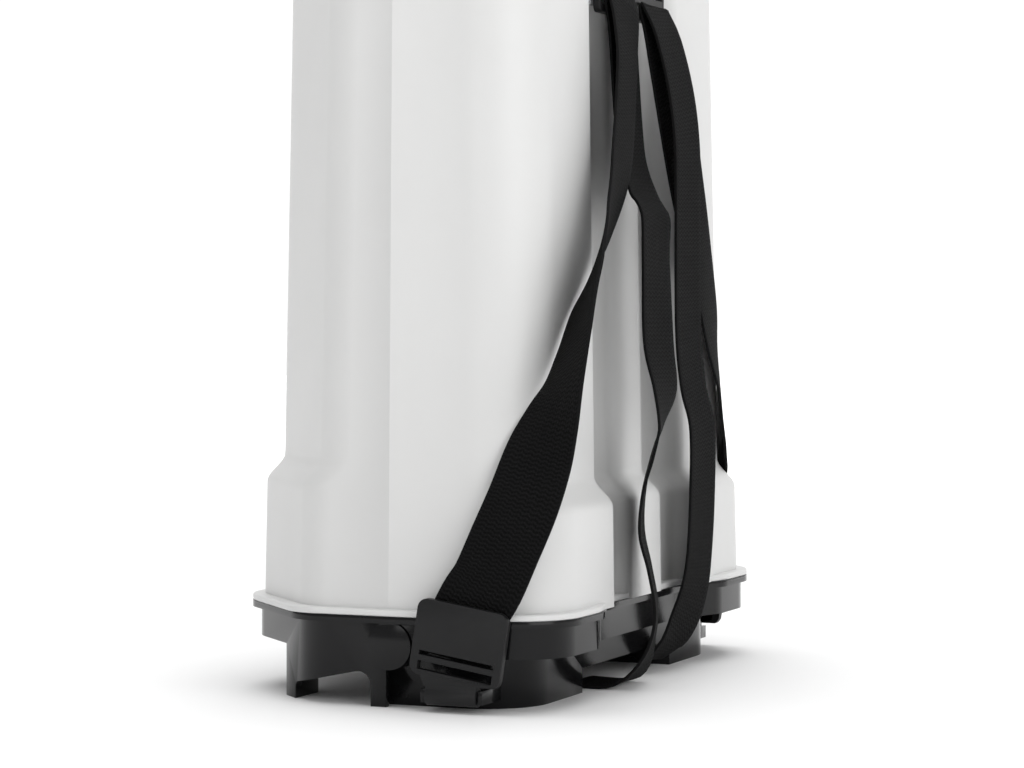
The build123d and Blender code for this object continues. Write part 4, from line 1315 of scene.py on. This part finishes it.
@dataclass
class Studio:
    """Pale floor, soft lights and the camera."""

    distance: float = 1888.0
    eye: float = 234.0
    bearing: float = 22.9
    lens: float = 104.33
    shift: tuple[float, float] = (-0.0153, -0.0771)

    def floor(self) -> None:
        """A wide pale floor that glows a little towards its edge."""
        Workpiece.deselect()
        bpy.ops.mesh.primitive_plane_add(size=14.0)
        plane = Workpiece("studio_floor").obj
        graph = Graph("studio_paper")
        cloud = graph.noise(0.4)
        reach = graph.node(
            "ShaderNodeVectorMath", {"operation": "LENGTH"}, {0: graph.place()}, output="Value"
        )
        glow = ((reach - 0.9) * 0.55).clamp()
        graph.set(
            Base_Color=graph.blend(cloud, (0.93, 0.93, 0.93), (0.95, 0.95, 0.95)),
            Roughness=0.95,
            Emission_Color=graph.blend(glow, (0.0, 0.0, 0.0), (0.95, 0.95, 0.95)),
            Emission_Strength=1.0,
        )
        plane.data.materials.append(graph.material)

    @staticmethod
    def lamp(name: str, place: Point, aim: Point, size: float, power: float) -> None:
        """One soft square lamp.

        Args:
            name: the lamp's name.
            place: where it stands, in metres.
            aim: what it shines at.
            size: its side.
            power: its power in watts.
        """
        light = bpy.data.lights.new(name, "AREA")
        light.shape = "SQUARE"
        light.size = size
        light.energy = power
        lamp = bpy.data.objects.new(name, light)
        lamp.location = place
        way = Vector(aim) - Vector(place)
        lamp.rotation_euler = way.to_track_quat("-Z", "Y").to_euler()
        bpy.context.scene.collection.objects.link(lamp)

    def camera(self) -> None:
        """A level camera with a long lens, off the wearer's right side."""
        data = bpy.data.cameras.new("camera")
        data.lens = self.lens
        data.sensor_width = 36.0
        data.shift_x, data.shift_y = self.shift
        turn = radians(self.bearing)
        camera = bpy.data.objects.new("camera", data)
        back, across = self.distance * cos(turn), self.distance * sin(turn)
        camera.location = DATUM.at(-back, -across, self.eye)
        camera.rotation_euler = (pi / 2, 0.0, turn - pi / 2)
        bpy.context.scene.collection.objects.link(camera)
        bpy.context.scene.camera = camera

    def build(self) -> None:
        """Set the whole studio."""
        self.camera()
        self.floor()
        sky = Surround("studio")
        turn = radians(self.bearing)
        ahead = sky.towards((cos(turn), sin(turn), 0.0))
        white = ((ahead - 0.55) * 4.0).clamp()
        side = ((sky.towards((sin(turn), -cos(turn), 0.0)) - 0.1) * 0.5).clamp()
        level = (white * 0.7 + side * 0.7 + 0.38).clamp(0.0, 1.08)
        sky.set(Color=(1.0, 1.0, 1.0, 1.0), Strength=level)
        bpy.context.scene.view_settings.view_transform = "Standard"
        self.lamp("key", (-1.6, -2.8, 0.7), (0.0, 0.0, 0.2), 2.4, 40.0)
        self.lamp("side", (-3.2, 0.2, 1.3), (0.0, 0.0, 0.25), 1.6, 14.0)
        self.lamp("top", (0.2, 0.1, 2.6), (0.0, 0.0, 0.2), 2.4, 56.0)


# --- Sprayer ---------------------------------------------------------------------

SOFTENED = (
    ("base", "base_moulding", 0.8),
    ("filler_cap", "screw_cap", 1.2),
    ("carry_handle", "carrying_handle", 0.8),
    ("lever_hub", "hub_casting", 0.8),
    ("lever_arm", "arm_bar", 0.5),
    ("lever_grip", "hand_grip", 1.2),
    ("strap_buckle_right", "buckle_right", 0.6),
    ("strap_buckle_left", "buckle_left", 0.6),
    ("strap_adjuster_right", "adjuster_right", 0.6),
    ("strap_adjuster_left", "adjuster_left", 0.6),
    ("strap_anchor", "anchor_plate", 0.4),
)


class Sprayer:
    """The whole backpack sprayer."""

    def __init__(self) -> None:
        """Read the frame's bodies and slots."""
        record = frame["record"]
        self.finishes = Finishes()
        self.slots = {s["node"]: s["material_slot"] for s in record["subparts"]}
        bodies = record["behaviour"]["bodies"]
        self.body_of = {node: body for body, nodes in bodies.items() for node in nodes}

    def dress_nodes(self) -> None:
        """Give every CAD node its slot's material."""
        for node, obj in frame["nodes"].items():
            obj.data.materials.clear()
            obj.data.materials.append(self.finishes.for_slot(self.slots[node]))

    def build(self) -> None:
        """Make every piece in order."""
        Tank(self.finishes).build()
        for node, name, width in SOFTENED:
            body, slot = self.body_of[node], self.slots[node]
            Softened(node, body, slot, width, name, self.finishes).build()
        routes = ((Side.RIGHT, RIGHT_RUN, RIGHT_TAIL), (Side.LEFT, LEFT_RUN, LEFT_TAIL))
        for side, run, tail in routes:
            Strap(side, run, tail, self.finishes).build(
                f"buckle_{side.word}", f"strap_adjuster_{side.word}"
            )
        self.dress_nodes()


def main() -> None:
    """Build the studio and the sprayer."""
    logging.basicConfig(level=logging.INFO, format="%(name)s %(message)s")
    Studio().build()
    Sprayer().build()


if __name__ == "__main__":
    main()
